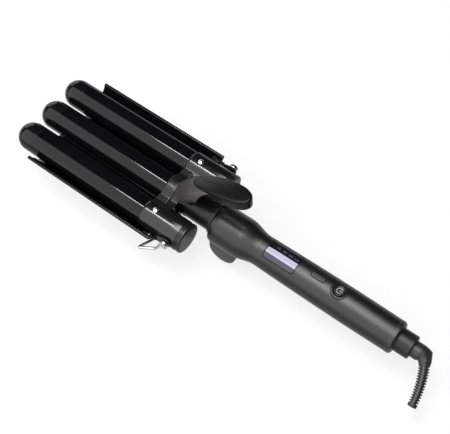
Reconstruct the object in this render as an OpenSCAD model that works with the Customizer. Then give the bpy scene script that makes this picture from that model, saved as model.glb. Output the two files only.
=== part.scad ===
// Folding three-barrel hair crimper, in millimetres.
// Inside each module x runs from the barrel tips to the cord and z is 0 on the barrel axis.

/* [Barrels] */
// Diameter of each barrel
barrel_d = 25; // [24:0.5:26]
// Distance between neighbouring barrel axes
barrel_pitch = 29; // [28.5:0.25:30]
// Length of an outer barrel, from its tip to its rear cap
barrel_len = 179; // [177:0.5:182]
// Wall of the aluminium barrels
barrel_wall = 1.2; // [0.8:0.1:1.6]
// Length of the moulded tip, dome and skirt together
tip_len = 21; // [19:0.5:24]
// Length of the spigot that holds a tip in its barrel
tip_spigot_len = 6; // [4:0.5:8]
// Thickness of the flat heater that is clamped inside each barrel
heater_t = 7; // [5:0.5:9]
// Length of each heater
heater_len = 104; // [90:1:110]

/* [Wave plate] */
// Distance from the barrel tips to the front edge of the plate
plate_front = 26; // [25:0.5:30]
// Distance of the plate's rear edge ahead of the barrels' rear ends
plate_back = 23.5; // [23:0.5:26]
// Thickness of the plate
plate_t = 1.2; // [1:0.1:1.4]
// Gap between an outer barrel and its trough
trough_gap = 1.2; // [1:0.1:1.4]
// Height of the rolled rims over the barrel axis
rim_z = 4.4; // [3.5:0.1:5]
// Half of the width over the rim centres
rim_y = 48.8; // [48:0.1:50]
// Diameter of the rolled rims
rim_d = 2.2; // [2:0.1:2.6]

/* [Sleeves and bridge] */
// Length of each sleeve
sleeve_len = 36.6; // [36:0.2:38]
// Wall of the sleeves
sleeve_t = 0.7; // [0.5:0.05:0.8]
// Height of the lower edge of the open front part of a sleeve
sleeve_skirt_z = 5.6; // [5.2:0.1:6]
// Length of the bridge along the barrels
bridge_len = 17; // [15:0.5:18]
// Wall of the bridge over the middle barrel
bridge_t = 1.6; // [1.2:0.1:2]
// Gap between the bridge and the middle barrel
bridge_gap = 0.8; // [0.6:0.1:1]
// Diameter of the screw heads on the sleeves
sleeve_screw_d = 4.6; // [4:0.2:5]
// Length of each rear cap
rear_cap_len = 5; // [4:0.2:6]

/* [Neck and fold hinge] */
// Diameter of the neck
neck_d = 24; // [23:0.2:24.6]
// Distance of the neck's front end, which takes the middle barrel, ahead of the barrels' rear ends
neck_lap = 27; // [26:0.5:28]
// Distance of the neck's rear flange behind the barrels' rear ends
neck_tail = 8.2; // [7:0.2:9]
// Diameter of the neck's flange
flange_d = 26.6; // [26:0.2:27]
// Thickness of the neck's flange
flange_t = 2.2; // [1.8:0.1:2.8]
// Width of the tongue between the ears of the handle
tongue_w = 16.4; // [15:0.2:17]
// Gap between the tongue and each ear
tongue_gap = 0.3; // [0.2:0.05:0.4]
// Distance of the fold pin behind the flange
fold_back = 12.8; // [12.6:0.1:13.2]
// Depth of the fold pin under the barrel axis
fold_drop = 21; // [20.5:0.1:22]
// Outer radius of the ears round the fold pin
ear_r = 12.4; // [12:0.1:12.6]
// Thickness of each ear
ear_t = 5; // [4:0.2:5.6]
// Diameter of the fold pin
fold_pin_d = 5; // [4:0.2:6]

/* [Jaw hinge] */
// Distance of the jaw pin ahead of the barrels' rear ends
jaw_ahead = 19; // [18:0.1:19.4]
// Height of the jaw pin over the barrel axis
jaw_z = 16; // [15.8:0.1:16.4]
// Diameter of the jaw pin
jaw_pin_d = 3; // [2.6:0.1:3.4]
// Radius of the lugs round the jaw pin
jaw_lug_r = 3.6; // [3.4:0.1:3.7]
// Distance between the outer faces of the neck's lugs
jaw_lug_span = 14.4; // [14:0.2:15]
// Thickness of the neck's lugs
jaw_lug_t = 2.6; // [2.2:0.1:3]
// Wire diameter of the jaw spring
spring_wire_d = 1.1; // [0.9:0.1:1.2]
// Mean radius of the jaw spring's turns
spring_r = 2.9; // [2.7:0.1:3]
// Turns in the jaw spring
spring_turns = 4; // [3:1:4]

/* [Lever] */
// Radius of the arch of the lever's hood over the jaw hinge
hood_r = 13.8; // [13.4:0.1:14]
// Depth of the hood's skirts under its crown
hood_depth = 11; // [10:0.2:11.4]
// Wall of the lever
lever_wall = 2; // [1.8:0.1:2.2]
// Width of the tongue behind the hood
tongue_w_top = 14.6; // [14:0.2:14.8]
// Thickness of the tongue under the thumb pad
tongue_t = 3.4; // [3:0.1:4]
// Distance between the outer faces of the cheeks that take the jaw pin
lever_w = 19.2; // [19:0.1:19.6]
// Distance of the lever's foot ahead of the jaw pin
foot_ahead_of_pin = 11.9; // [11.4:0.1:12.2]
// Rise of the lever's foot over the bridge
foot_rise = 2; // [1.8:0.1:2.2]
// Radius of the lower bend of the lever, along the crown of the hood
neck_bend_r = 71; // [69:0.5:73]
// Turn of the lower bend, in degrees
neck_bend = 29; // [27:0.5:31]
// Radius of the upper bend, under the thumb pad
pad_bend_r = 107; // [102:1:112]
// Turn of the upper bend, in degrees
pad_bend = 25.5; // [24:0.5:27]
// Width of the thumb pad
pad_w = 17.6; // [17:0.2:18.4]
// Rise of the thumb pad's top over the crown of the tongue
pad_t = 1.3; // [1:0.1:1.6]
// Height of the thumb pad's walls
pad_wall_h = 8; // [7:0.2:8.6]
// Length of the thumb pad ahead of the upper bend, as degrees of the lower bend
pad_lead = 8; // [7:0.5:9]

/* [Stand] */
// Diameter of the stand's wire
wire_d = 2.2; // [1.8:0.1:2.4]
// Distance of the stand's pivots ahead of the barrels' rear ends
stand_ahead = 11; // [10:0.2:12]
// Height of the stand's pivots over the barrel axis
stand_z = 3; // [2.6:0.1:3.4]
// Distance of the feet ahead of the pivots
foot_ahead = 44; // [42:0.5:46]
// Drop of the feet under the pivots
foot_drop = 38; // [37:0.5:39]
// Distance between the feet
foot_span = 42; // [40:0.5:44]
// Thickness of the straps that carry the stand
strap_t = 1; // [0.8:0.1:1.2]
// Height of the straps
strap_h = 9; // [8:0.2:10]
// Diameter of the stand's washers
washer_d = 7.4; // [7:0.2:8]
// Thickness of the stand's washers
washer_t = 0.8; // [0.6:0.1:1]

/* [Handle] */
// Length of the handle, from its front face to its rear shoulder
handle_len = 168.6; // [166:0.2:172]
// Drop of the handle's axis under the barrel axis
handle_drop = 3.5; // [3:0.1:4]
// Radius of the bulb over the fold hinge
bulb_r = 16.9; // [16.6:0.1:17.2]
// Radius of the grip where it leaves the bulb
grip_r = 13.2; // [12.8:0.1:13.4]
// Swell of the grip at the middle of its length
grip_swell = 0.8; // [0.4:0.1:1.2]
// Length of the bulb, from the front face to where it starts to narrow
bulb_len = 24; // [22:0.5:26]
// Length over which the bulb narrows to the grip
taper_len = 19; // [17:0.5:21]
// Wall of the handle's shells
shell_t = 2.2; // [1.8:0.1:2.6]
// Length of the ring that closes the handle's rear end
end_ring_len = 4.6; // [4:0.2:6]
// Distance between the two shells along their parting line
parting_gap = 0.1; // [0.05:0.05:0.2]

/* [Controls] */
// Distance of the display's front edge behind the handle's front face
display_back = 48; // [46:0.5:50]
// Length of the display window
display_len = 29; // [27:0.5:31]
// Width of the display window
display_w = 18; // [16:0.5:19]
// Corner radius of the display window
display_corner_r = 2.5; // [2:0.1:3]
// Thickness of the display window
display_t = 1.2; // [0.8:0.1:1.4]
// Distance of the mode button behind the handle's front face
mode_back = 95; // [93:0.5:97]
// Length of the mode button
mode_len = 12.5; // [11:0.5:14]
// Width of the mode button
mode_w = 4.2; // [3.8:0.2:4.8]
// Distance of the power button behind the handle's front face
power_back = 114; // [112:0.5:116]
// Diameter of the power button
power_d = 8.6; // [8:0.2:9.4]
// Outer diameter of the ring round the power button
power_ring_d = 14.4; // [13.6:0.2:15]
// Clearance round each button
button_gap = 0.15; // [0.1:0.05:0.2]
// Travel of the buttons
button_travel = 0.8; // [0.6:0.1:1]

/* [Cord swivel] */
// Length of the collar behind the handle
collar_len = 12.8; // [12:0.2:14]
// Diameter of the collar
collar_d = 19.4; // [18.6:0.2:20.2]
// Diameter of the swivel's barrel at the collar
swivel_d = 13.4; // [12.6:0.2:14]
// Running clearance between the swivel and the collar
swivel_gap = 0.08; // [0.04:0.01:0.1]
// Straight part of the strain relief behind the collar
relief_straight = 5.5; // [5:0.5:7]
// Centre line radius of the elbow
elbow_r = 7.4; // [7.2:0.1:9]
// Bend of the elbow, in degrees
elbow_bend = 63; // [60:1:66]
// Centre line radius of the arm
arm_bend_r = 90; // [80:1:100]
// Further bend along the arm, in degrees
arm_bend = 22; // [20:0.5:24]
// Angle at which the arm droops under the horizontal
arm_droop = 18; // [14:1:22]
// Radius of the arm where it leaves the elbow
arm_r = 4.2; // [4:0.1:4.6]
// Radius of the arm's end
arm_end_r = 3.5; // [3.3:0.1:3.8]
// Ribs along the arm
rib_count = 14; // [10:1:16]
// Diameter of the cord that the strain relief takes
cord_d = 4.2; // [3.8:0.1:4.6]

/* [Hidden] */

$fn = 64;
fit = 0.05;
over = 1;
far = 200;

// Barrels
barrel_r = barrel_d / 2;
bore_r = barrel_r - barrel_wall;
plate_rear = barrel_len - plate_back;
plate_len = plate_rear - plate_front;
sleeve_front = barrel_len - rear_cap_len - sleeve_len;
neck_front = barrel_len - neck_lap;
neck_rear = barrel_len + neck_tail;
jaw_x = barrel_len - jaw_ahead;
stand_x = barrel_len - stand_ahead;
sleeve_r = barrel_r + sleeve_t;
outer_tube_rear = barrel_len - rear_cap_len;
middle_tube_rear = neck_front + 9;
heater_front = tip_len + tip_spigot_len + 3;
trough_r = barrel_r + trough_gap;
plate_out_r = trough_r + plate_t;
saddle_out_r = barrel_r + plate_t;
ridge_z = -4;
ridge_groove_r = 7.6;
plate_screw_d = 2.5;
plate_screw_head_d = 4.6;
plate_screw_head_t = 0.9;
plate_screw_x = [plate_front + 14, plate_rear - 16];
cap_plug_len = 5;

// Bridge
bridge_front = sleeve_front + 0.6;
bridge_rear = bridge_front + bridge_len;
bridge_in_r = barrel_r + bridge_gap;
bridge_out_r = bridge_in_r + bridge_t;
bridge_low_z = 3;
bridge_valley_z = 9.6;
bridge_edge_y = barrel_pitch - 5.4;

// Neck and fold hinge
neck_r = neck_d / 2;
flange_r = flange_d / 2;
fold_x = neck_rear + fold_back;
fold_z = -fold_drop;
ear_in = tongue_w / 2 + tongue_gap;
ear_out = ear_in + ear_t;
tongue_top = 4;
tongue_r = ear_r - 0.5;
slot_clear = 0.9;
slot_deep = 40;

// Lever
lug_out = jaw_lug_span / 2;
lug_in = lug_out - jaw_lug_t;
foot_x = jaw_x - foot_ahead_of_pin;
foot_z = bridge_out_r + foot_rise;
foot_heading = 60;
neck_cx = foot_x + neck_bend_r * sin(foot_heading);
neck_cz = foot_z - neck_bend_r * cos(foot_heading);
pad_heading = foot_heading - neck_bend;
spring_rib_h = 6.2;
cheek_t = 2.2;
pad_widest = 0.66;
pad_fullness = 2.2;
foot_w = 12;
pad_x0 = neck_cx - neck_bend_r * sin(pad_heading);
pad_z0 = neck_cz + neck_bend_r * cos(pad_heading);
pad_cx = pad_x0 + pad_bend_r * sin(pad_heading);
pad_cz = pad_z0 - pad_bend_r * cos(pad_heading);
pad_end_x = pad_cx - pad_bend_r * sin(pad_heading - pad_bend);

// Stand
strap_in = sleeve_r + barrel_pitch + 0.5;
strap_out = strap_in + strap_t;
strap_front = plate_rear - 9;
strap_rivet_up = 4.4;
strap_rivet_d = 2;
wall_foot_angle = 20;
wall_root_angle = 28;
wall_in_y = barrel_pitch + trough_r * cos(wall_foot_angle);
wall_in_z = -trough_r * sin(wall_foot_angle);
wall_lean = atan2(rim_y - plate_t / 2 - wall_in_y, rim_z - wall_in_z);
wire_r = wire_d / 2;
pivot_y = strap_out + 0.3 + wire_r;
side_y = rim_y + rim_d / 2 + 1.2 + wire_r;
stand_pin_d = 2.4;
foot_x0 = stand_x - foot_ahead;
foot_z0 = stand_z - foot_drop;
under_z = -plate_out_r - wire_r - 0.3;

// Handle
handle_front = neck_rear + 0.4;
handle_z = -handle_drop;
handle_rear = handle_front + handle_len;
ring_x = handle_rear - end_ring_len;
front_block_len = 27;
screw_d = 2.8;
screw_head_d = 5;
screw_reach = 6;
rib_t = 1.6;
display_x0 = handle_front + display_back;
display_cx = display_x0 + display_len / 2;
mode_x = handle_front + mode_back;
power_x = handle_front + power_back;
board_t = 1.6;
board_z = handle_z + parting_gap / 2;
board_w = 20;
switch_h = 4;
power_ring_h = 4;
board_x0 = display_x0 - 3;
board_x1 = power_x + 12;
handle_screw_x = [handle_front + bulb_len + 12, board_x1 + 14];

// Cord swivel
collar_rear = handle_rear + collar_len;
arm_len_angle = elbow_bend + arm_bend;
relief_end_x = relief_straight + elbow_r * sin(elbow_bend)
    + arm_bend_r * (sin(arm_len_angle) - sin(elbow_bend));
rib_out = 0.5;
cord_hole_len = 9;
// The core ends just inside the disc that closes it
core_bend = arm_bend - 0.1;
cord_bore_d = cord_d + 0.2;

// The part's box: tip to cord end along x, the feet of the stand at z = 0
x_max = collar_rear + relief_end_x + arm_end_r * sin(arm_len_angle);
x_mid = x_max / 2;
z_low = foot_z0 - wire_r;

barrel_black = [0.07, 0.07, 0.075];
plastic_black = [0.12, 0.12, 0.125];
soft_black = [0.18, 0.18, 0.185];
steel = [0.78, 0.78, 0.8];

// Moves a piece from the barrel tips' frame to the part's own origin
module placed() {
    translate([-x_mid, 0, -z_low]) children();
}

// Turns a shape drawn about z so that it runs along x
module along_x(x = 0, y = 0, z = 0) {
    translate([x, y, z]) rotate([0, 90, 0]) children();
}

// A round bar along y, centred on y = 0
module cross_pin(x, z, d, w) {
    translate([x, 0, z]) rotate([90, 0, 0]) cylinder(d = d, h = w, center = true);
}

// A 2D outline in x and z, given the width w along y and centred on y
module side_slab(w, y = 0) {
    translate([0, y, 0]) rotate([90, 0, 0]) linear_extrude(w, center = true) children();
}

// A 2D outline in y and z, run along x
module front_bar(x0, x1) {
    translate([x0, 0, 0]) rotate([90, 0, 90]) linear_extrude(x1 - x0) children();
}

module stadium(l, w) {
    square([l - w, w], center = true);
    for (s = [-1, 1]) translate([s * (l - w) / 2, 0]) circle(d = w);
}

module round_rect(l, w, r) {
    square([l - 2 * r, w], center = true);
    square([l, w - 2 * r], center = true);
    for (sx = [-1, 1], sy = [-1, 1]) {
        translate([sx * (l / 2 - r), sy * (w / 2 - r)]) circle(r);
    }
}

// ---- Barrels ----

module barrel_tube(x1) {
    along_x(tip_len) rotate_extrude()
        translate([bore_r, 0]) square([barrel_wall, x1 - tip_len]);
}

// A hollow dome with its skirt, and the spigot that enters the tube
module barrel_tip() {
    spigot_r = bore_r - fit;
    difference() {
        union() {
            translate([barrel_r, 0, 0]) sphere(barrel_r, $fn = 96);
            along_x(barrel_r) cylinder(r = barrel_r, h = tip_len - barrel_r);
            along_x(tip_len - over) cylinder(r = spigot_r, h = tip_spigot_len + over);
        }
        along_x(barrel_r) cylinder(r = bore_r - 2, h = far);
    }
}

// The flat heater bears on two sides of its tube's bore
module heater() {
    front_bar(heater_front, heater_front + heater_len) intersection() {
        circle(bore_r - fit);
        square([barrel_d, heater_t], center = true);
    }
}

module on_side(side) {
    translate([0, side * barrel_pitch, 0]) children();
}

module middle_barrel() {
    color(barrel_black) placed() barrel_tube(middle_tube_rear);
}

module middle_tip() {
    color(plastic_black) placed() barrel_tip();
}

module middle_heater() {
    color("tan") placed() heater();
}

module outer_barrel(side) {
    color(barrel_black) placed() on_side(side) difference() {
        barrel_tube(outer_tube_rear);
        sleeve_screw_hole();
    }
}

module outer_tip(side) {
    color(plastic_black) placed() on_side(side) barrel_tip();
}

module outer_heater(side) {
    color("tan") placed() on_side(side) heater();
}

// ---- Wave plate ----

// Outline of one side wall, from its root in the trough to the rolled rim
module wall_outline(side) {
    polygon([for (p = [trough_point(wall_root_angle, trough_r), trough_point(wall_foot_angle, trough_r),
        [rim_y - plate_t / 2, rim_z], [rim_y + plate_t / 2, rim_z - 0.3],
        trough_point(wall_foot_angle, plate_out_r), trough_point(wall_root_angle, plate_out_r)])
        [side * p[0], p[1]]]);
}

// A point of the trough's section, at an angle below its outer side
function trough_point(angle, r) = [barrel_pitch + r * cos(angle), -r * sin(angle)];

// Two troughs, the saddle that hugs the middle barrel between them, and a wall on each side
module wave_plate() {
    trough_top = -plate_out_r * sin(wall_foot_angle);
    color(barrel_black) placed() difference() {
        union() {
            difference() {
                for (s = [-1, 1]) on_side(s) along_x(plate_front) cylinder(r = plate_out_r, h = plate_len);
                translate([0, -far, trough_top]) cube([far, 2 * far, far]);
            }
            translate([plate_front, -barrel_pitch / 2 - 2, -saddle_out_r])
                cube([plate_len, barrel_pitch + 4, saddle_out_r + ridge_z]);
            for (s = [-1, 1]) front_bar(plate_front, plate_rear) wall_outline(s);
            for (s = [-1, 1]) along_x(plate_front, s * rim_y, rim_z) cylinder(d = rim_d, h = plate_len);
        }
        along_x() cylinder(r = barrel_r + fit, h = far);
        for (s = [-1, 1]) on_side(s) along_x() cylinder(r = trough_r, h = far);
        for (s = [-1, 1]) along_x(0, s * barrel_pitch / 2, -plate_out_r - 1.6)
            cylinder(r = ridge_groove_r, h = far);
        for (x = plate_screw_x) translate([x, 0, -far]) cylinder(d = plate_screw_d + 2 * fit, h = far);
        for (s = [-1, 1]) strap_rivet_hole(s);
    }
}

// Raised screws that fasten the plate to the middle barrel
module plate_screws() {
    color(steel) placed() for (x = plate_screw_x) translate([x, 0, 0]) {
        translate([0, 0, -barrel_r - plate_t - plate_screw_head_t])
            cylinder(d = plate_screw_head_d, h = plate_screw_head_t);
        translate([0, 0, -barrel_r - plate_t]) cylinder(d = plate_screw_d, h = plate_t);
    }
}

// ---- Upper jaw ----

// The sleeve is a tube at the rear and a half tube over the wave plate
module sleeve(side) {
    slot_rear = plate_rear + 1.2;
    color(plastic_black) placed() on_side(side) difference() {
        along_x(sleeve_front) rotate_extrude($fn = 96)
            translate([barrel_r, 0]) square([sleeve_t, sleeve_len]);
        side_slab(far) polygon([[sleeve_front - over, -barrel_d],
            [sleeve_front - over, barrel_r * 0.9], [sleeve_front + 1.6, barrel_r * 0.7],
            [sleeve_front + 5, sleeve_skirt_z], [slot_rear, sleeve_skirt_z - 1.2],
            [slot_rear, -barrel_d]]);
        sleeve_screw_hole();
        // The bridge's shoulder takes the sleeve's place beside the middle barrel
        translate([bridge_front - 0.1, side * (bridge_edge_y - barrel_pitch - far / 2) - far / 2, -far])
            cube([bridge_len + 0.2, far, 2 * far]);
    }
}

sleeve_screw_x = sleeve_front + 9.8;

module sleeve_screw_hole() {
    translate([sleeve_screw_x, 0, 0]) cylinder(d = 2.6, h = far);
}

// Pan-head screws through the sleeves into the barrels
module sleeve_screws() {
    color(steel) placed() for (s = [-1, 1]) on_side(s) translate([sleeve_screw_x, 0, 0]) {
        translate([0, 0, bore_r]) cylinder(d = 2.5, h = sleeve_r - bore_r);
        translate([0, 0, sleeve_r]) intersection() {
            cylinder(d = sleeve_screw_d, h = 1.1);
            translate([0, 0, -2.4]) sphere(3.5);
        }
    }
}

// End disc of an outer barrel, with a groove before its face
module rear_cap(side) {
    color(plastic_black) placed() on_side(side) {
        along_x() rotate_extrude($fn = 96) polygon([[0, outer_tube_rear - cap_plug_len],
            [bore_r - fit, outer_tube_rear - cap_plug_len], [bore_r - fit, outer_tube_rear],
            [barrel_r + 0.1, outer_tube_rear], [barrel_r + 0.1, outer_tube_rear + 1.2],
            [barrel_r - 0.3, outer_tube_rear + 1.3], [barrel_r - 0.3, outer_tube_rear + 1.9],
            [barrel_r + 0.5, outer_tube_rear + 2], [barrel_r + 0.5, barrel_len - 0.6],
            [barrel_r - 0.1, barrel_len], [0, barrel_len]]);
    }
}

// The saddle over the middle barrel that ties the two outer barrels together
module bridge() {
    notch_x = jaw_x - jaw_lug_r - 1.8;
    notch_w = lever_w + 0.8;
    color(plastic_black) placed() difference() {
        union() {
            along_x(bridge_front) cylinder(r = bridge_out_r, h = bridge_len);
            for (s = [-1, 1]) on_side(s) along_x(bridge_front) cylinder(r = sleeve_r, h = bridge_len);
            for (s = [-1, 1]) translate([bridge_front, s * barrel_pitch / 2 - 7.5, 0])
                cube([bridge_len, 15, bridge_valley_z]);
        }
        along_x() cylinder(r = bridge_in_r, h = far);
        for (s = [-1, 1]) on_side(s) along_x() cylinder(r = barrel_r, h = far);
        translate([0, -far, bridge_low_z - far]) cube([far, 2 * far, far]);
        for (s = [-1, 1]) translate([0, s * (bridge_edge_y + far / 2) - far / 2, -far])
            cube([far, far, 2 * far]);
        translate([notch_x, -notch_w / 2, 0]) cube([far, notch_w, far]);
        cross_pin(jaw_x, jaw_z, 2 * jaw_lug_r + 1.6, notch_w);
    }
}

// ---- Lever ----

// Points of the lever's outer face: t from 0 to 1 along the lower bend, 1 to 2 under the pad
function lever_heading(t) = foot_heading - neck_bend * min(t, 1) - pad_bend * max(t - 1, 0);
function lever_point(t, off) = let (h = lever_heading(t), r = (t < 1 ? neck_bend_r : pad_bend_r) + off)
    [(t < 1 ? neck_cx : pad_cx) - r * sin(h), (t < 1 ? neck_cz : pad_cz) + r * cos(h)];

// The strip between two offsets from the outer face, from t0 to t1
module lever_strip(low, high, t0, t1) {
    steps = ceil((t1 - t0) * 14);
    t_at = [for (i = [0:steps]) t0 + (t1 - t0) * i / steps];
    polygon(concat([for (t = t_at) lever_point(t, high)],
        [for (i = [steps:-1:0]) lever_point(t_at[i], low)]));
}

// Half width of the thumb pad at a share s of its length, widest at pad_widest
function pad_half(s) = let (q = s < pad_widest ? 1 - s / pad_widest : (s - pad_widest) / (1 - pad_widest))
    pad_w / 2 * pow(max(0, 1 - pow(q, pad_fullness)), 1 / pad_fullness);

// Plan of the thumb pad: a teardrop with a narrow front end
module pad_plan(front) {
    steps = 30;
    share = [for (i = [0:steps]) (1 - cos(180 * i / steps)) / 2];
    polygon(concat([for (i = [0:steps]) [front + share[i] * (pad_end_x - front), pad_half(share[i])]],
        [for (i = [steps - 1:-1:1]) [front + share[i] * (pad_end_x - front), -pad_half(share[i])]]));
}

// Sweeps a section, drawn with its radius along x, about the centre of the lower bend
module hood_sweep(h0, h1) {
    translate([neck_cx, 0, neck_cz]) rotate([90, 0, 0]) rotate([0, 0, 90 + h0])
        rotate_extrude(angle = h1 - h0, $fn = 180) children();
}

// The hood: an arch over the jaw hinge, with a skirt on each side
module lever_hood() {
    hood_sweep(pad_heading, foot_heading) intersection() {
        translate([neck_bend_r - hood_r, 0]) difference() {
            circle(hood_r, $fn = 96);
            circle(hood_r - lever_wall, $fn = 96);
        }
        translate([neck_bend_r - hood_depth, -far / 2]) square([far, far]);
    }
}

module lever() {
    color(soft_black) placed() difference() {
        union() {
            lever_hood();
            side_slab(tongue_w_top) lever_strip(-tongue_t, 0, 0.85, 1.92);
            // The rib on which the jaw spring's upper leg bears
            side_slab(6) lever_strip(-spring_rib_h, -1, 0.2, 0.75);
            lever_cheeks();
            lever_foot();
        }
        along_x() cylinder(r = bridge_out_r, h = bridge_rear + 0.3);
        along_x() cylinder(r = barrel_r + 0.6, h = far);
        cross_pin(jaw_x, jaw_z, 2 * jaw_lug_r + 0.9, 2 * lug_out + 0.8);
        translate([jaw_x - jaw_lug_r - 0.45, -lug_out - 0.4, 0]) cube([far, 2 * lug_out + 0.8, jaw_z]);
        cross_pin(jaw_x, jaw_z, jaw_pin_d + 2 * fit, far);
    }
}

// Side plates under the hood that take the jaw pin outside the neck's lugs
module lever_cheeks() {
    under = -4.6;
    for (s = [-1, 1]) side_slab(cheek_t, s * (lever_w - cheek_t) / 2) {
        translate([jaw_x, jaw_z]) circle(jaw_lug_r);
        polygon([[jaw_x - 3, jaw_z - 3], [jaw_x + jaw_lug_r, jaw_z], lever_point(0.5, under - 2),
            lever_point(0.5, under), lever_point(0.3, under), lever_point(0.12, under)]);
    }
}

// The foot joins the hood's crown to the bridge, ahead of the jaw pin
module lever_foot() {
    side_slab(foot_w) polygon([[foot_x - 1.9, bridge_in_r], [foot_x + 4.5, bridge_in_r],
        [foot_x + 5, foot_z - 0.6], lever_point(0.12, -lever_wall - 0.4), lever_point(0.12, -0.4),
        lever_point(0, -0.4), [foot_x - 1.9, bridge_out_r + 0.4]]);
}

// Thumb pad: a cap over the tongue, whose front end lies on the crown of the hood
module thumb_pad() {
    front_t = 1 - pad_lead / neck_bend;
    front_x = lever_point(front_t, 0)[0];
    color(soft_black) placed() difference() {
        intersection() {
            side_slab(pad_w) {
                lever_strip(-pad_wall_h / 3, pad_t, front_t - 0.04, 1.3);
                lever_strip(pad_t - pad_wall_h, pad_t, 1.25, 2);
            }
            linear_extrude(far) pad_plan(front_x);
        }
        hood_sweep(pad_heading, foot_heading) translate([neck_bend_r - hood_r, 0])
            circle(hood_r + 0.02, $fn = 96);
        side_slab(tongue_w_top + 0.2) lever_strip(-far / 8, 0.02, 0.84, 1.95);
    }
}

// Jaw pin with a head at each end
module jaw_pin() {
    head_t = 0.8;
    color(steel) placed() {
        cross_pin(jaw_x, jaw_z, jaw_pin_d, lever_w);
        for (s = [-1, 1]) translate([jaw_x, s * (lever_w + head_t) / 2, jaw_z])
            rotate([90, 0, 0]) cylinder(d = jaw_pin_d + 1, h = head_t, center = true);
    }
}

// ---- Jaw spring: one unbroken wire, two legs and the turns between them ----

spring_pitch = 1.75;
spring_leg = 11;
spring_tail = 4.2;
spring_sides = 6;
spring_steps = 8;
spring_w = spring_turns * spring_pitch;
// The leg leaves along the lever's underside and the tail dips between the neck's lugs
spring_leg_angle = 44;
spring_tail_angle = 250;

function spring_turn_point(t) = let (a = spring_leg_angle + 90 - t * sweep_angle())
    [spring_r * cos(a), -spring_w / 2 + t * spring_w, spring_r * sin(a)];
function sweep_angle() = 360 * spring_turns + spring_leg_angle + 90 - spring_tail_angle;
function unit(v) = v / norm(v);
spring_count = spring_steps * (spring_turns + 1);
function spring_leg_point(t, angle, way) = spring_turn_point(t)
    + way * [cos(angle), 0, sin(angle)];
spring_path = concat(
    [for (i = [4:-1:1]) spring_leg_point(0, spring_leg_angle, spring_leg * i / 4)],
    [for (i = [0:spring_count]) spring_turn_point(i / spring_count)],
    [for (i = [1:3]) spring_leg_point(1, spring_tail_angle - 90, spring_tail * i / 3)]);
spring_least_gap = min([for (i = [0:len(spring_path) - 5], j = [i + 4:len(spring_path) - 1])
    norm(spring_path[i] - spring_path[j])]) - spring_wire_d;
echo(spring_least_gap = spring_least_gap);

// A closed tube of n sides along a path of points, with the y direction as its reference
function tube_ring(p, dir, r, n, ref) = let (u = unit(cross(ref, dir)), v = cross(dir, u))
    [for (k = [0:n - 1]) p + r * (cos(360 * k / n) * u + sin(360 * k / n) * v)];
function path_dir(pts, i) = unit(pts[min(i + 1, len(pts) - 1)] - pts[max(i - 1, 0)]);

module tube(pts, radii, n, ref) {
    m = len(pts);
    verts = [for (i = [0:m - 1]) each tube_ring(pts[i], path_dir(pts, i), radii[i], n, ref)];
    sides = [for (i = [0:m - 2], k = [0:n - 1]) let (a = i * n + k, b = i * n + (k + 1) % n)
        each [[a, a + n, b], [b, a + n, b + n]]];
    caps = [[for (k = [0:n - 1]) k], [for (k = [0:n - 1]) m * n - 1 - k]];
    polyhedron(verts, concat(sides, caps), convexity = 10);
}

module jaw_spring() {
    color(steel) placed() translate([jaw_x, 0, jaw_z])
        tube(spring_path, [for (p = spring_path) spring_wire_d / 2], spring_sides, [0, 1, 0.001]);
}

// ---- Neck ----

module neck() {
    color(plastic_black) placed() difference() {
        union() {
            along_x(neck_front) cylinder(r = neck_r, h = neck_rear - neck_front);
            along_x(neck_rear - flange_t) cylinder(r = flange_r, h = flange_t);
            for (s = [-1, 1]) side_slab(jaw_lug_t, s * (lug_out - jaw_lug_t / 2)) {
                translate([jaw_x, jaw_z]) circle(jaw_lug_r);
                polygon([[jaw_x - jaw_lug_r, jaw_z], [jaw_x - jaw_lug_r, neck_r - 5],
                    [jaw_x + jaw_lug_r + 3, neck_r - 5], [jaw_x + jaw_lug_r, jaw_z]]);
            }
            side_slab(tongue_w) {
                translate([fold_x, fold_z]) circle(tongue_r);
                translate([fold_x - tongue_r, fold_z]) square([tongue_r - 1, tongue_top - fold_z]);
                translate([neck_rear - 1, -8]) square([fold_back - tongue_r + 2, tongue_top + 8]);
            }
        }
        along_x(neck_front - over) cylinder(r = barrel_r + fit, h = middle_tube_rear - neck_front + over);
        cross_pin(fold_x, fold_z, fold_pin_d + 2 * fit, far);
        cross_pin(jaw_x, jaw_z, jaw_pin_d + 2 * fit, far);
        translate([jaw_x - spring_r - 3, -lug_in, jaw_z - spring_r - 3.6])
            cube([2 * spring_r + 6, 2 * lug_in, 20]);
    }
}

// ---- Stand ----

// Places a shape on the inner face of the plate's wall, z up along the wall and y outward
module on_wall(side) {
    mirror([0, side < 0 ? 1 : 0, 0]) translate([0, wall_in_y, wall_in_z])
        rotate([-wall_lean, 0, 0]) children();
}

// Strap with a leaning tab riveted inside the plate's wall and an upright arm to the pivot
module strap(side) {
    tab_end = plate_rear + 3.2;
    color(plastic_black) placed() difference() {
        union() {
            on_wall(side) translate([strap_front, -strap_t, 2.4]) cube([tab_end - strap_front, strap_t, 5.4]);
            side_slab(strap_t, side * (strap_out - strap_t / 2)) {
                translate([stand_x, stand_z]) circle(d = strap_h);
                polygon([[plate_rear + 0.2, -2.2], [tab_end, -2.2], [stand_x, stand_z - strap_h / 2],
                    [stand_x, stand_z + strap_h / 2], [plate_rear + 4, stand_z + 2],
                    [plate_rear + 0.2, 1]]);
            }
        }
        translate([stand_x, 0, stand_z]) rotate([-90 * side, 0, 0])
            cylinder(d = stand_pin_d + 2 * fit, h = far);
        strap_rivet_hole(side);
    }
}

module strap_rivet_hole(side) {
    on_wall(side) translate([strap_front + 5, -2 * strap_t, strap_rivet_up])
        rotate([-90, 0, 0]) cylinder(d = strap_rivet_d + 2 * fit, h = 4);
}

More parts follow.
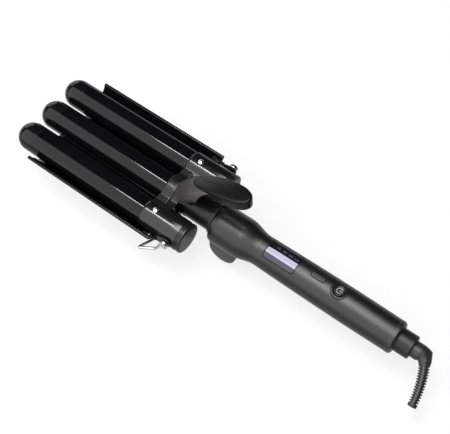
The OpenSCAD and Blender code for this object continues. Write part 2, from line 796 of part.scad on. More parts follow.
module strap_rivets() {
    color(steel) placed() for (s = [-1, 1]) on_wall(s) translate([strap_front + 5, 0, strap_rivet_up])
        rotate([-90, 0, 0]) {
            translate([0, 0, -strap_t - 0.5]) cylinder(d = 3.4, h = 0.5);
            translate([0, 0, -strap_t]) cylinder(d = strap_rivet_d, h = strap_t + plate_t);
            translate([0, 0, plate_t]) cylinder(d = 3.4, h = 0.7);
        }
}

// Rivet and washer on which one side of the stand turns
module stand_pin(side) {
    color(steel) placed() mirror([0, side < 0 ? 1 : 0, 0]) translate([stand_x, strap_in, stand_z])
        rotate([-90, 0, 0]) {
            cylinder(d = stand_pin_d, h = pivot_y - strap_in + wire_r + 0.2);
            translate([0, 0, pivot_y - strap_in + wire_r + 0.1]) cylinder(d = washer_d, h = washer_t);
        }
}

// One wire: an eye on each side, the side arms outside the plate, two V feet and a cross bar
bend_r = 2.6;
bend_sag = 0.88;
arm_out_x = stand_x - 0.46 * foot_ahead;
stand_side = [
    [stand_x - 2, pivot_y, stand_z - 1.3],
    [stand_x - 6.5, pivot_y, stand_z - 4.2],
    [arm_out_x, side_y, stand_z - 13],
    [arm_out_x - 1, side_y - 1, under_z],
    [arm_out_x + 3, barrel_pitch + 8, under_z],
    [foot_x0, foot_span / 2, foot_z0 - bend_sag],
    [foot_x0 - 14, foot_span / 2 - 4, under_z]];
stand_corners = concat(stand_side, [for (i = [len(stand_side) - 1:-1:0])
    [stand_side[i][0], -stand_side[i][1], stand_side[i][2]]]);

// Each corner of a wire's path as a short curve
function bend_points(a, b, c) = let (
        d = min(bend_r, norm(b - a) * 0.45, norm(c - b) * 0.45),
        from = b + d * unit(a - b),
        to = b + d * unit(c - b))
    [for (t = [0:0.25:1]) pow(1 - t, 2) * from + 2 * t * (1 - t) * b + t * t * to];
function bent_path(c) = concat([c[0]],
    [for (i = [1:len(c) - 2]) each bend_points(c[i - 1], c[i], c[i + 1])], [c[len(c) - 1]]);

module stand() {
    path = bent_path(stand_corners);
    color(steel) placed() {
        tube(path, [for (p = path) wire_r], 10, [0.31, 0.17, 1]);
        for (s = [-1, 1]) translate([stand_x, s * pivot_y, stand_z]) rotate([90, 0, 0]) difference() {
            cylinder(d = stand_pin_d + 2 * fit + 2 * wire_d, h = wire_d, center = true);
            cylinder(d = stand_pin_d + 2 * fit, h = wire_d + over, center = true);
        }
    }
}

// ---- Handle ----

taper_steps = 10;
grip_steps = 12;

// Radius of the handle at a distance d behind its front face
function smooth(t) = let (c = min(max(t, 0), 1)) c * c * (3 - 2 * c);
function handle_r(d) = let (
        narrow = smooth((d - bulb_len) / taper_len),
        grip = max(0, d - bulb_len - taper_len) / (handle_len - bulb_len - taper_len),
        nose = 0.8 * pow(1 - min(d / 6, 1), 2))
    bulb_r - nose - (bulb_r - grip_r) * narrow + grip_swell * sin(180 * grip * 0.86);

grip_start = bulb_len + taper_len;
grip_len = handle_len - end_ring_len - grip_start;
handle_steps = concat([0, 1.5, 3.5, 6, 12, 18],
    [for (i = [0:taper_steps]) bulb_len + taper_len * i / taper_steps],
    [for (i = [1:grip_steps]) grip_start + grip_len * i / grip_steps]);

// Outline of the handle in x and radius, drawn in by a wall of w
module handle_profile(w) {
    polygon(concat([[0, 0]], [for (d = handle_steps) [handle_r(d) - w, d]],
        [[0, handle_len - end_ring_len]]));
}

module handle_solid(w) {
    along_x(handle_front, 0, handle_z) rotate_extrude($fn = 96) handle_profile(w);
}

module handle_hollow() {
    difference() {
        handle_solid(shell_t);
        translate([handle_front - over, -far, -far]) cube([front_block_len + over, 2 * far, 2 * far]);
    }
}

// Room for the tongue between the ears
module fold_slot() {
    side_slab(2 * ear_in) {
        translate([fold_x, fold_z]) circle(tongue_r + slot_clear);
        translate([handle_front - over, fold_z - slot_deep])
            square([fold_back + 0.4, slot_deep + 1.2 + tongue_top - fold_z]);
        translate([handle_front - over, fold_z - slot_deep])
            square([fold_back + tongue_r + slot_clear - 0.4 + over, slot_deep]);
    }
}

module handle_ears() {
    for (s = [-1, 1]) side_slab(ear_t, s * (ear_out - ear_t / 2)) {
        translate([fold_x, fold_z]) circle(ear_r);
        translate([fold_x - ear_r, fold_z]) square([2 * ear_r, handle_z - fold_z - 1]);
    }
}

module shell_half(up) {
    intersection() {
        difference() {
            handle_solid(0);
            handle_hollow();
        }
        translate([0, -far / 2, up ? handle_z + parting_gap / 2 : handle_z - parting_gap / 2 - far])
            cube([2 * far, far, far]);
    }
}

// Places a cutter or a piece on the top line of the handle
module on_top(x) {
    translate([x, 0, handle_z]) children();
}

// Bosses of the two screws that hold the shells together
module screw_bosses(up) {
    for (x = handle_screw_x) translate([x, 0, handle_z]) {
        reach = handle_r(x - handle_front) - 0.6;
        translate([0, 0, up ? parting_gap / 2 : -reach]) cylinder(d = 6.6, h = reach - parting_gap / 2);
    }
}

// Cross ribs of the bottom shell, on which the board lies
module board_ribs() {
    intersection() {
        handle_solid(shell_t - 0.2);
        for (x = [board_x0 + 4, display_cx + 20, board_x1 - 4]) difference() {
            translate([x - rib_t / 2, -far / 2, handle_z - far]) cube([rib_t, far, far - parting_gap / 2]);
            translate([x - rib_t, -6, handle_z - 6]) cube([2 * rib_t, 12, far]);
        }
    }
}

module handle_top() {
    color(soft_black) placed() difference() {
        union() {
            shell_half(true);
            screw_bosses(true);
        }
        fold_slot();
        for (x = handle_screw_x) translate([x, 0, handle_z - over])
            cylinder(d = screw_d + 2 * fit, h = screw_reach + 0.5 + over);
        on_top(display_cx) linear_extrude(far) round_rect(display_len, display_w, display_corner_r);
        on_top(mode_x) linear_extrude(far) stadium(mode_len + 2 * button_gap, mode_w + 2 * button_gap);
        on_top(power_x) cylinder(d = power_ring_d, h = far);
    }
}

module handle_bottom() {
    color(soft_black) placed() difference() {
        union() {
            shell_half(false);
            handle_ears();
            screw_bosses(false);
            board_ribs();
        }
        fold_slot();
        cross_pin(fold_x, fold_z, fold_pin_d + 2 * fit, far);
        for (x = handle_screw_x) {
            translate([x, 0, -far]) cylinder(d = screw_d + 2 * fit, h = far);
            translate([x, 0, screw_seat_z(x) - far]) cylinder(d = screw_head_d + 0.4, h = far);
        }
    }
}

function screw_seat_z(x) = handle_z - handle_r(x - handle_front) + 1.8;

module handle_screws() {
    color(steel) placed() for (x = handle_screw_x) translate([x, 0, screw_seat_z(x)]) {
        translate([0, 0, -1.2]) cylinder(d = screw_head_d, h = 1.2);
        cylinder(d = screw_d, h = handle_z + screw_reach - screw_seat_z(x));
    }
}

// Ring that closes the rear of both shells
module end_ring() {
    lip = 1.6;
    r = handle_r(handle_len - end_ring_len) + 0.1;
    color(soft_black) placed() along_x(ring_x + 0.05, 0, handle_z) rotate_extrude($fn = 96)
        polygon([[collar_d / 2 - 1.2, 0], [r, 0], [r, end_ring_len - lip],
            [r - lip, end_ring_len - 0.05], [collar_d / 2 - 1.2, end_ring_len - 0.05]]);
}

module fold_pin() {
    color(steel) placed() cross_pin(fold_x, fold_z, fold_pin_d, 2 * ear_out - 1);
}

// Board with a switch under each button
module circuit_board() {
    color("darkgreen") placed() {
        translate([board_x0, -board_w / 2, board_z]) cube([board_x1 - board_x0, board_w, board_t]);
        for (x = [mode_x, power_x]) translate([x - 3, -3, board_z + board_t]) cube([6, 6, switch_h]);
    }
}

// The display's glass module stands on the board under the window
module display_module() {
    top = handle_z + window_in_r() * cos(asin(display_w / 2 / window_in_r())) - 0.3;
    color("midnightblue") placed() translate([display_x0 + 1.5, -display_w / 2 + 1, board_z + board_t])
        cube([display_len - 3, display_w - 2, top - board_z - board_t]);
}

function window_in_r() = handle_r(display_cx - handle_front) - display_t;

// Clear window, curved with the grip and flush with it
module display_window() {
    color("black") placed() intersection() {
        on_top(display_cx) linear_extrude(far)
            round_rect(display_len - 2 * fit, display_w - 2 * fit, display_corner_r);
        difference() {
            handle_solid(0);
            handle_solid(display_t);
        }
    }
}

// Button with its cap over the shell, a stem down to its switch and a flange that keeps it in
module button_body(x, cap_h, flange_z) {
    top = handle_r(x - handle_front) + cap_h;
    low = board_z + board_t + switch_h - handle_z + button_travel;
    intersection() {
        on_top(x) {
            translate([0, 0, low]) linear_extrude(top - low) children(0);
            translate([0, 0, flange_z - 1]) linear_extrude(1) children(1);
        }
        translate([x, 0, handle_z]) rotate([0, 90, 0]) cylinder(r = top, h = 40, center = true, $fn = 96);
    }
}

module mode_button() {
    flange_z = handle_r(mode_back) - shell_t - 0.8;
    color(soft_black) placed() button_body(mode_x, 0.5, flange_z) {
        stadium(mode_len, mode_w);
        stadium(mode_len + 2, mode_w + 2);
    }
}

module power_button() {
    flange_z = handle_r(power_back) - power_ring_h - 0.1;
    color(soft_black) placed() button_body(power_x, 0.4, flange_z) {
        circle(d = power_d);
        circle(d = power_d + 2);
    }
}

module power_ring() {
    color(plastic_black) placed() intersection() {
        on_top(power_x) translate([0, 0, handle_r(power_back) - power_ring_h]) linear_extrude(far)
            difference() {
                circle(d = power_ring_d - 2 * fit);
                circle(d = power_d + 2 * button_gap);
            }
        translate([power_x, 0, handle_z]) rotate([0, 90, 0])
            cylinder(r = handle_r(power_back) + 0.25, h = 40, center = true, $fn = 96);
    }
}

// ---- Cord swivel ----

module cord_collar() {
    flange_len = 2;
    color(plastic_black) placed() along_x(0, 0, handle_z) rotate_extrude($fn = 96)
        polygon([[swivel_d / 2 + swivel_gap, ring_x - flange_len], [collar_d / 2 + 0.6, ring_x - flange_len],
            [collar_d / 2 + 0.6, ring_x], [collar_d / 2 - 1.25, ring_x], [collar_d / 2 - 1.25, handle_rear],
            [collar_d / 2, handle_rear], [collar_d / 2, collar_rear - 0.8],
            [collar_d / 2 - 0.8, collar_rear], [swivel_d / 2 + swivel_gap, collar_rear]]);
}

// Point and heading of the arm's centre line, t from 0 at the elbow to 1 at its end
function arm_heading(t) = elbow_bend + arm_bend * t;
function arm_point(t) = let (h = arm_heading(t))
    [relief_straight + elbow_r * sin(elbow_bend) + arm_bend_r * (sin(h) - sin(elbow_bend)),
     elbow_r * (1 - cos(elbow_bend)) + arm_bend_r * (cos(elbow_bend) - cos(h)), 0];
function arm_radius(t) = arm_r + (arm_end_r - arm_r) * t;

// Turns a shape drawn along x so that it lies along the arm at t
module along_arm(t) {
    translate(arm_point(t)) rotate([0, 0, arm_heading(t)]) along_x() children();
}

module strain_relief() {
    corner_x = relief_straight + elbow_r * tan(elbow_bend / 2);
    shank_len = collar_len + end_ring_len + 2;
    corner_r = swivel_d / 2 - 0.3;
    cone_len = norm(arm_point(0.1) - [corner_x, 0, 0]);
    core_r = arm_end_r - rib_out;
    color(soft_black) placed() translate([collar_rear, 0, handle_z]) rotate([180 + arm_droop, 0, 0])
        difference() {
            union() {
                along_x(-shank_len) cylinder(d = swivel_d, h = shank_len + 1.4);
                along_x() cylinder(r = corner_r, h = corner_x);
                translate([corner_x, 0, 0]) sphere(corner_r + 0.05);
                translate([corner_x, 0, 0]) rotate([0, 0, elbow_bend]) along_x()
                    cylinder(r1 = corner_r - 0.1, r2 = arm_r - 0.1, h = cone_len);
                translate([arm_point(0)[0] - arm_bend_r * sin(elbow_bend),
                    arm_point(0)[1] + arm_bend_r * cos(elbow_bend), 0])
                    rotate([0, 0, elbow_bend - 90]) rotate_extrude(angle = core_bend, $fn = 360)
                        translate([arm_bend_r, 0]) circle(core_r, $fn = 48);
                for (i = [0:rib_count - 1]) relief_rib(0.16 + 0.76 * i / (rib_count - 1));
                along_arm(1) translate([0, 0, -1.6]) cylinder(r = arm_end_r, h = 1.6);
            }
            along_arm(1) translate([0, 0, -cord_hole_len])
                cylinder(d = cord_bore_d, h = cord_hole_len + over);
        }
}

module relief_rib(t) {
    along_arm(t) translate([0, 0, -0.65]) cylinder(r = arm_radius(t), h = 1.3);
}

// ---- Parts ----

neck();
middle_barrel();
middle_tip();
middle_heater();
wave_plate();
plate_screws();
strap(-1);  // strap_left
strap(1);  // strap_right
strap_rivets();
stand();
stand_pin(-1);  // stand_pin_left
stand_pin(1);  // stand_pin_right
outer_barrel(-1);  // outer_barrel_left
outer_barrel(1);  // outer_barrel_right
outer_tip(-1);  // outer_tip_left
outer_tip(1);  // outer_tip_right
outer_heater(-1);  // outer_heater_left
outer_heater(1);  // outer_heater_right
sleeve(-1);  // sleeve_left
sleeve(1);  // sleeve_right
rear_cap(-1);  // rear_cap_left
rear_cap(1);  // rear_cap_right
bridge();
sleeve_screws();
lever();
thumb_pad();
jaw_pin();
jaw_spring();
fold_pin();
handle_top();
handle_bottom();
end_ring();
handle_screws();
circuit_board();
display_module();
display_window();
mode_button();
power_ring();
power_button();
cord_collar();
strain_relief();
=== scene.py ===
import bpy
import bmesh
import math
from mathutils import Matrix, Vector


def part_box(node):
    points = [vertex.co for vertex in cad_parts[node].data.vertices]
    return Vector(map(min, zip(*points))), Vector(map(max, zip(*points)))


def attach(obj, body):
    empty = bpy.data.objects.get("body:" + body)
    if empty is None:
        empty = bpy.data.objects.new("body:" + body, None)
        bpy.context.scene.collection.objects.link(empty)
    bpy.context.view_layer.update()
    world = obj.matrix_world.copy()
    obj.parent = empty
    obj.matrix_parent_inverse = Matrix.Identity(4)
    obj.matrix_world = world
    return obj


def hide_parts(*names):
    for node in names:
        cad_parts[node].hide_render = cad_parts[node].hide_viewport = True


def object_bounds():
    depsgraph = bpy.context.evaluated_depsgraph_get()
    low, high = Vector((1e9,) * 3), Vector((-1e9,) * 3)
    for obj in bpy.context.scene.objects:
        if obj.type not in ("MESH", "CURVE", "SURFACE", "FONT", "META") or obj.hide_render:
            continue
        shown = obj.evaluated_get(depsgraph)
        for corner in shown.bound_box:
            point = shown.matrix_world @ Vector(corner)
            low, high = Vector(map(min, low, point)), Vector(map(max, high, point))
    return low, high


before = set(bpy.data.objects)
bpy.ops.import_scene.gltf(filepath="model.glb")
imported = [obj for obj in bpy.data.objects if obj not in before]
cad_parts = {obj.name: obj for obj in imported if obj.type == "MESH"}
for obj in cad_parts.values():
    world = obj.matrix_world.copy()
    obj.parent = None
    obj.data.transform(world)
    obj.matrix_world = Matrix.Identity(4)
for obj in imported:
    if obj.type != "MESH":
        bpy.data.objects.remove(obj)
cad_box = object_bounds()

# ---- The tool's own frame --------------------------------------------------------------------
# Every size below is in millimetres, with x from the barrel tips toward the cord, y across the
# barrels and z up from the axis of the middle barrel; at() turns them into the frame's metres.
MM = 0.001
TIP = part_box("middle_tip")[0]
AXIS = (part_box("middle_barrel")[0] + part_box("middle_barrel")[1]) / 2


def at(x, y, z):
    return Vector((TIP.x + x * MM, y * MM, AXIS.z + z * MM))


# ---- Camera ----------------------------------------------------------------------------------
# A 74 mm lens that looks down along the handle from over the cord's side.
CAMERA_PLACE = (425.0, -305.8, 631.4)
CAMERA_AZIMUTH = math.radians(37.1)
CAMERA_TILT = math.radians(90 - 58.3)
camera_data = bpy.data.cameras.new("camera")
camera_data.lens = 74.05
camera_data.sensor_width = 36
camera_data.clip_start = 0.05
camera_data.clip_end = 50
camera = bpy.data.objects.new("camera", camera_data)
camera.location = at(*CAMERA_PLACE)
camera.rotation_euler = (CAMERA_TILT, 0, CAMERA_AZIMUTH)
bpy.context.scene.collection.objects.link(camera)
bpy.context.scene.camera = camera
bpy.context.scene.view_settings.view_transform = "Standard"


# ---- Floor -----------------------------------------------------------------------------------
# A white studio floor. Rays from the lens, from gloss and through clear parts see it as plain
# white paper with the tool's soft shadow; the light it throws back stays that of pale paper.
class Value:
    """The output of a node, so that the maths of a finish is written as arithmetic."""

    def __init__(self, finish, socket):
        self.finish, self.socket = finish, socket

    def combine(self, operation, other, swapped=False):
        pair = [other, self] if swapped else [self, other]
        vector = any(isinstance(p, Value) and p.socket.type in ("VECTOR", "RGBA") for p in pair)
        kind = "ShaderNodeVectorMath" if vector else "ShaderNodeMath"
        pair = [(p, p, p) if vector and not isinstance(p, (Value, tuple)) else p for p in pair]
        return self.finish.node(kind, {"operation": operation}, {0: pair[0], 1: pair[1]})

    def __add__(self, other):
        return self.combine("ADD", other)

    def __radd__(self, other):
        return self.combine("ADD", other, swapped=True)

    def __sub__(self, other):
        return self.combine("SUBTRACT", other)

    def __rsub__(self, other):
        return self.combine("SUBTRACT", other, swapped=True)

    def __mul__(self, other):
        return self.combine("MULTIPLY", other)

    def __rmul__(self, other):
        return self.combine("MULTIPLY", other, swapped=True)

    def over(self, level, softness=0.0):
        """1 where the value is above a level, 0 below it, with a soft step between."""
        return self.finish.node("ShaderNodeMapRange", {"clamp": True}, {
            "Value": self, "From Min": level - softness - 1e-6, "From Max": level + softness + 1e-6})


class Finish:
    """A material, or the world, built from nodes."""

    def __init__(self, name, holder=None):
        self.material = holder or bpy.data.materials.new(name)
        self.material.use_nodes = True
        self.tree = self.material.node_tree
        self.tree.nodes.clear()

    def node(self, kind, settings=None, inputs=None, out=0):
        made = self.tree.nodes.new(kind)
        for key, setting in (settings or {}).items():
            setattr(made, key, setting)
        for key, given in (inputs or {}).items():
            if isinstance(given, Value):
                self.tree.links.new(given.socket, made.inputs[key])
            elif made.inputs[key].type == "RGBA" and len(given) == 3:
                made.inputs[key].default_value = (*given, 1)
            else:
                made.inputs[key].default_value = given
        return Value(self, made.outputs[out])

    def place(self):
        return self.node("ShaderNodeTexCoord", out=3)

    def noise(self, scale, detail=2.0, stretch=(1, 1, 1)):
        """Even grain of about 1 / scale metres, drawn out along an axis by a small stretch."""
        return self.node("ShaderNodeTexNoise", {}, {
            "Vector": self.place() * tuple(stretch), "Scale": scale, "Detail": detail})

    def mix(self, mask, low, high):
        """A colour between two, by a mask that runs from 0 to 1."""
        colours = {"Factor": mask, 6: low, 7: high}
        return self.node("ShaderNodeMix", {"data_type": "RGBA"}, colours, out=2)

    def bump(self, height, depth):
        return self.node("ShaderNodeBump", {}, {"Height": height, "Distance": depth, "Strength": 1.0})

    def skin(self, **inputs):
        """The surface of a piece: one Principled shader, with its sockets by their own names."""
        named = {key.replace("_", " "): given for key, given in inputs.items()}
        made = self.node("ShaderNodeBsdfPrincipled", {}, named)
        self.node_out(made)
        return self.material

    def node_out(self, shader, kind="ShaderNodeOutputMaterial"):
        end = self.tree.nodes.new(kind)
        self.tree.links.new(shader.socket, end.inputs["Surface"])


FLOOR_HALF = 14.0
PAPER = 0.08
PAPER_GLOW = 0.78


def seen_ray(finish):
    """1 for rays from the lens, in a reflection or through a clear part."""
    straight = [finish.node("ShaderNodeLightPath", out=out)
                for out in ("Is Camera Ray", "Is Glossy Ray", "Is Transmission Ray")]
    return (straight[0] + straight[1] + straight[2]).over(0.5)


floor_finish = Finish("floor_paper")
paper = floor_finish.node("ShaderNodeBsdfDiffuse", {}, {"Color": (PAPER, PAPER, PAPER)})
glow = floor_finish.node("ShaderNodeEmission", {}, {"Color": (1, 1, 1), "Strength": PAPER_GLOW})
lit_paper = floor_finish.node("ShaderNodeAddShader", {}, {0: paper, 1: glow})
floor_finish.node_out(floor_finish.node(
    "ShaderNodeMixShader", {}, {0: seen_ray(floor_finish), 1: paper, 2: lit_paper}))

floor_mesh = bpy.data.meshes.new("floor")
floor_mesh.from_pydata(
    [(x * FLOOR_HALF, y * FLOOR_HALF, cad_box[0].z) for x, y in ((-1, -1), (1, -1), (1, 1), (-1, 1))],
    [], [(0, 1, 2, 3)])
floor_mesh.materials.append(floor_finish.material)
floor = bpy.data.objects.new("floor", floor_mesh)
bpy.context.scene.collection.objects.link(floor)

# ---- Room and lamps --------------------------------------------------------------------------
# A dim room whose floor runs on to the horizon, a large soft screen on the near side from
# overhead down to the floor, a bright strip over the barrels, two wide ones over the grip, a low
# soft screen beyond the tips and a soft screen behind the cord.
ROOM_LEVEL = 0.05
LAMP_HEIGHT = 1.5
HORIZON = 0.01
world = bpy.data.worlds.new("room")
bpy.context.scene.world = world
room = Finish("room", world)
up = room.node("ShaderNodeSeparateXYZ", {}, {0: room.node("ShaderNodeTexCoord", out=0)}, out=2)
below = 1 - up.over(HORIZON, HORIZON)
backdrop = room.node("ShaderNodeBackground", {}, {
    "Color": (1, 1, 1), "Strength": ROOM_LEVEL + (PAPER_GLOW - ROOM_LEVEL) * below})
room.node_out(backdrop, "ShaderNodeOutputWorld")


def lamp(name, place, way, long_side, size, radiance):
    """A soft rectangular lamp that stands at a place and shines back along a direction."""
    data = bpy.data.lights.new(name, "AREA")
    data.shape = "RECTANGLE"
    data.size, data.size_y = size
    data.energy = radiance * math.pi * size[0] * size[1]
    back = Vector(way).normalized()
    across = (Vector(long_side) - back * back.dot(Vector(long_side))).normalized()
    turn = Matrix((across, back.cross(across), back)).transposed().to_4x4()
    holder = bpy.data.objects.new(name, data)
    holder.matrix_world = Matrix.Translation(Vector(place)) @ turn
    holder.visible_camera = False
    bpy.context.scene.collection.objects.link(holder)


def toward(heading, lean):
    """The direction at a heading round the tool and an angle from the vertical, in degrees."""
    h, a = math.radians(heading), math.radians(lean)
    return Vector((math.cos(h) * math.sin(a), math.sin(h) * math.sin(a), math.cos(a)))


near_way = toward(-90, 48.5)
lamp("near_screen", near_way * LAMP_HEIGHT + Vector((-1.1, 0, 0)), near_way, (1, 0, 0), (4.2, 3.1), 4.0)
lamp("barrel_strip", (-0.60, -0.125, LAMP_HEIGHT), (0, 0, 1), (1, 0, 0), (0.32, 0.10), 88)
lamp("grip_strip", (-0.32, 0.14, LAMP_HEIGHT), (0, 0, 1), (1, 0, 0), (0.24, 1.15), 18)
lamp("butt_strip", (-0.04, -0.20, LAMP_HEIGHT), (0, 0, 1), (1, 0, 0), (0.32, 1.15), 15)
tip_way = toward(153, 76)
lamp("tip_screen", tip_way * 2.4, tip_way, (tip_way.y, -tip_way.x, 0), (1.5, 1.15), 2.4)
cord_way = toward(40, 62)
lamp("cord_screen", cord_way * 2.0, cord_way, (cord_way.y, -cord_way.x, 0), (1.2, 0.8), 0.4)

# ---- Barrels ---------------------------------------------------------------------------------
# Three 25 mm aluminium tubes with a baked-on gloss black ceramic coat, smooth enough to mirror
# the lamps, with the faint unevenness that a sprayed coat keeps and a softened edge at each end.
BARREL_PITCH = 29.0
BARREL_RADIUS, BORE_RADIUS = 12.5, 11.3
TIP_LENGTH = 21.0
COAT_BLACK = (0.0010, 0.0010, 0.0012)


def gloss_black(name, colour, rough, ripple=0.000004, gloss=0.24, tint=(1, 1, 1)):
    """Black coat or moulding: cloudy gloss, fine grain and edges rubbed a little paler."""
    finish = Finish(name)
    cloud = finish.noise(38, 3)
    grain = finish.noise(900, 2)
    rubbed = finish.node("ShaderNodeNewGeometry", out="Pointiness").over(0.60, 0.07) * grain
    clean = finish.mix(cloud, colour, tuple(c * 1.7 for c in colour))
    return finish.skin(
        Base_Color=finish.mix(rubbed, clean, tuple(c * 4 + 0.012 for c in colour)),
        Specular_IOR_Level=gloss,
        Specular_Tint=tint,
        Roughness=rough + (cloud - 0.5) * 0.04 + rubbed * 0.1,
        Normal=finish.bump(grain, ripple))


def soften(mesh, angle):
    """Smooth shading everywhere but at the edges that turn by more than an angle."""
    work = bmesh.new()
    work.from_mesh(mesh)
    bmesh.ops.remove_doubles(work, verts=work.verts, dist=1e-7)
    bmesh.ops.recalc_face_normals(work, faces=work.faces)
    for face in work.faces:
        face.smooth = True
    for edge in work.edges:
        edge.smooth = len(edge.link_faces) == 2 and edge.calc_face_angle(0) < math.radians(angle)
    work.to_mesh(mesh)
    work.free()


def piece_from(name, points, faces, body, slot, finish, replaces=(), angle=40):
    """A closed piece from points and faces: smooth but for its edges, on its body."""
    mesh = bpy.data.meshes.new(name)
    mesh.from_pydata(points, [], faces)
    soften(mesh, angle)
    mesh.materials.append(finish)
    piece = bpy.data.objects.new(name, mesh)
    bpy.context.scene.collection.objects.link(piece)
    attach(piece, body)
    if replaces:
        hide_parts(*replaces)
    return piece


def loft(rings, closed=False):
    """Points and faces of a skin over rings of equal count, with its ends closed or joined."""
    n, m = len(rings[0]), len(rings)
    points = [point for ring in rings for point in ring]
    faces = [(i * n + k, i * n + (k + 1) % n, (i + 1) % m * n + (k + 1) % n, (i + 1) % m * n + k)
             for i in range(m if closed else m - 1) for k in range(n)]
    if not closed:
        faces += [tuple(reversed(range(n))), tuple(range((m - 1) * n, m * n))]
    return points, faces


def turned(profile, y, sides=144):
    """Rings round a barrel's axis, from a profile of places along the barrel and radii."""
    turns = [2 * math.pi * k / sides for k in range(sides)]
    return [[at(x, y + r * math.sin(a), r * math.cos(a)) for a in turns] for x, r in profile]


barrel_coat = gloss_black("barrel_coat", COAT_BLACK, 0.075, 0.0000012, 0.13)
BARRELS = (("left", "outer_{}_left", -BARREL_PITCH, "upper_jaw"),
           ("middle", "middle_{}", 0.0, "lower_jaw"),
           ("right", "outer_{}_right", BARREL_PITCH, "upper_jaw"))
FRONT_EDGE = ((0, 0.16), (0.03, 0.08), (0.1, 0.02), (0.22, 0))
REAR_EDGE = ((0.2, 0), (0.05, 0.05), (0, 0.2))
TUBE_STEPS, PLAIN_FROM = 24, 0.6
for name, node, y, body in BARRELS:
    cad = node.format("barrel")
    front, rear = TIP_LENGTH, (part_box(cad)[1].x - TIP.x) / MM
    first, last = front + PLAIN_FROM, rear - PLAIN_FROM
    profile = [(front, BORE_RADIUS)] + [(front + x, BARREL_RADIUS - drop) for x, drop in FRONT_EDGE]
    profile += [(first + (last - first) * i / TUBE_STEPS, BARREL_RADIUS) for i in range(TUBE_STEPS + 1)]
    profile += [(rear - x, BARREL_RADIUS - drop) for x, drop in REAR_EDGE] + [(rear, BORE_RADIUS)]
    form = loft(turned(profile, y), True)
    piece_from("tube_" + name, *form, body, "barrel_coating", barrel_coat, (cad,))

# ---- Barrel tips -----------------------------------------------------------------------------
# A hollow dome and skirt in heat-proof plastic on the front of each barrel, held by a spigot, its
# rear edge rounded so that a fine dark line parts it from the tube.
tip_plastic = gloss_black("tip_plastic", (0.0014, 0.0014, 0.0016), 0.13, gloss=0.145)
SPIGOT_RADIUS, SPIGOT_REAR, TIP_BORE = 11.2, 27.0, 9.3
DOME_STEPS, SKIRT_ROWS = 40, (15.5, 18.5, 20.4)
arc = [math.radians(0.2 + 89.8 * i / DOME_STEPS) for i in range(DOME_STEPS + 1)]
profile = [(BARREL_RADIUS * (1 - math.cos(a)), BARREL_RADIUS * math.sin(a)) for a in arc]
profile += [(x, BARREL_RADIUS) for x in SKIRT_ROWS]
profile += [(TIP_LENGTH - x, BARREL_RADIUS - drop) for x, drop in reversed(FRONT_EDGE)]
profile += [(TIP_LENGTH, SPIGOT_RADIUS), (SPIGOT_REAR, SPIGOT_RADIUS), (SPIGOT_REAR, TIP_BORE)]
profile += [(BARREL_RADIUS, TIP_BORE), (BARREL_RADIUS, 0.05)]
for name, node, y, body in BARRELS:
    form = loft(turned(profile, y))
    piece_from("dome_" + name, *form, body, "gloss_plastic", tip_plastic, (node.format("tip"),))

# ---- Rear caps -------------------------------------------------------------------------------
# The disc that closes the rear of each outer barrel: a narrow neck, a rim as wide as the sleeve
# and a flat face that stands inside a fine groove.
cap_plastic = gloss_black("cap_plastic", (0.0020, 0.0020, 0.0022), 0.3, 0.000003, 0.2)
CAP_PROFILE = (
    (169.0, 0.05), (169.0, 11.2), (174.0, 11.2), (174.0, 12.55), (175.2, 12.58), (175.3, 12.2),
    (175.9, 12.2), (176.0, 12.8), (176.1, 12.94), (176.3, 13.0), (178.0, 13.0), (178.25, 12.96),
    (178.45, 12.86), (178.6, 12.7), (178.66, 12.45), (178.66, 11.9), (178.5, 11.8), (178.35, 11.7),
    (178.35, 11.45), (178.5, 11.35), (178.8, 11.25), (178.94, 11.1), (179.0, 10.8), (179.0, 9.0),
    (179.0, 6.0), (179.0, 3.0), (179.0, 0.05))
for name, node, y, body in BARRELS:
    if body == "upper_jaw":
        form = loft(turned(CAP_PROFILE, y, 120))
        piece_from("cap_" + name, *form, body, "gloss_plastic", cap_plastic, ("rear_cap_" + name,))

# ---- Wave plate ------------------------------------------------------------------------------
# A thin pressed plate in the barrels' own coat, screwed under the middle barrel: a trough round
# each outer barrel, a ridge on each side of the middle one, and walls that end in a rolled rim.
PLATE_FRONT, PLATE_REAR = 26.0, 155.5
TROUGH_RADIUS, PLATE_THICK = 13.7, 1.2
RIDGE_HEIGHT, RIDGE_HALF = -4.0, 16.5
GROOVE_RADIUS, GROOVE_HEIGHT = 7.6, -16.5
WALL_TOP = (48.8, 4.4)
RIM_Y, RIM_Z, RIM_RADIUS = 48.45, 4.2, 1.5
WALL_FOOT = math.radians(20)
BED_STEP, BED_STEPS, WALL_STEPS, PLATE_STEPS = 0.4, 104, 12, 40


def sheet_solid(rows, columns, outer, inner):
    """Points and faces of a wall between two grids of points, with its rim closed."""
    points = [outer(i, j) for i in range(rows) for j in range(columns)]
    points += [inner(i, j) for i in range(rows) for j in range(columns)]
    n = rows * columns
    faces = []
    for i in range(rows - 1):
        for j in range(columns - 1):
            a = i * columns + j
            faces.append((a, a + 1, a + columns + 1, a + columns))
            faces.append((n + a, n + a + columns, n + a + columns + 1, n + a + 1))
    rim = [j for j in range(columns)] + [i * columns + columns - 1 for i in range(1, rows)]
    rim += [(rows - 1) * columns + j for j in range(columns - 2, -1, -1)]
    rim += [i * columns for i in range(rows - 2, 0, -1)]
    for k, a in enumerate(rim):
        b = rim[(k + 1) % len(rim)]
        faces.append((a, n + a, n + b, b))
    return points, faces


def hollow(y, centre, radius):
    """Height of the underside of a round form over a place beside it, or nothing beyond it."""
    reach = radius * radius - (y - centre) ** 2
    return -math.sqrt(reach) if reach > 0 else None


def plate_top(y):
    bed = [hollow(abs(y), BARREL_PITCH, TROUGH_RADIUS), hollow(y, 0, BARREL_RADIUS + 0.1)]
    return min([RIDGE_HEIGHT] + [z for z in bed if z is not None])


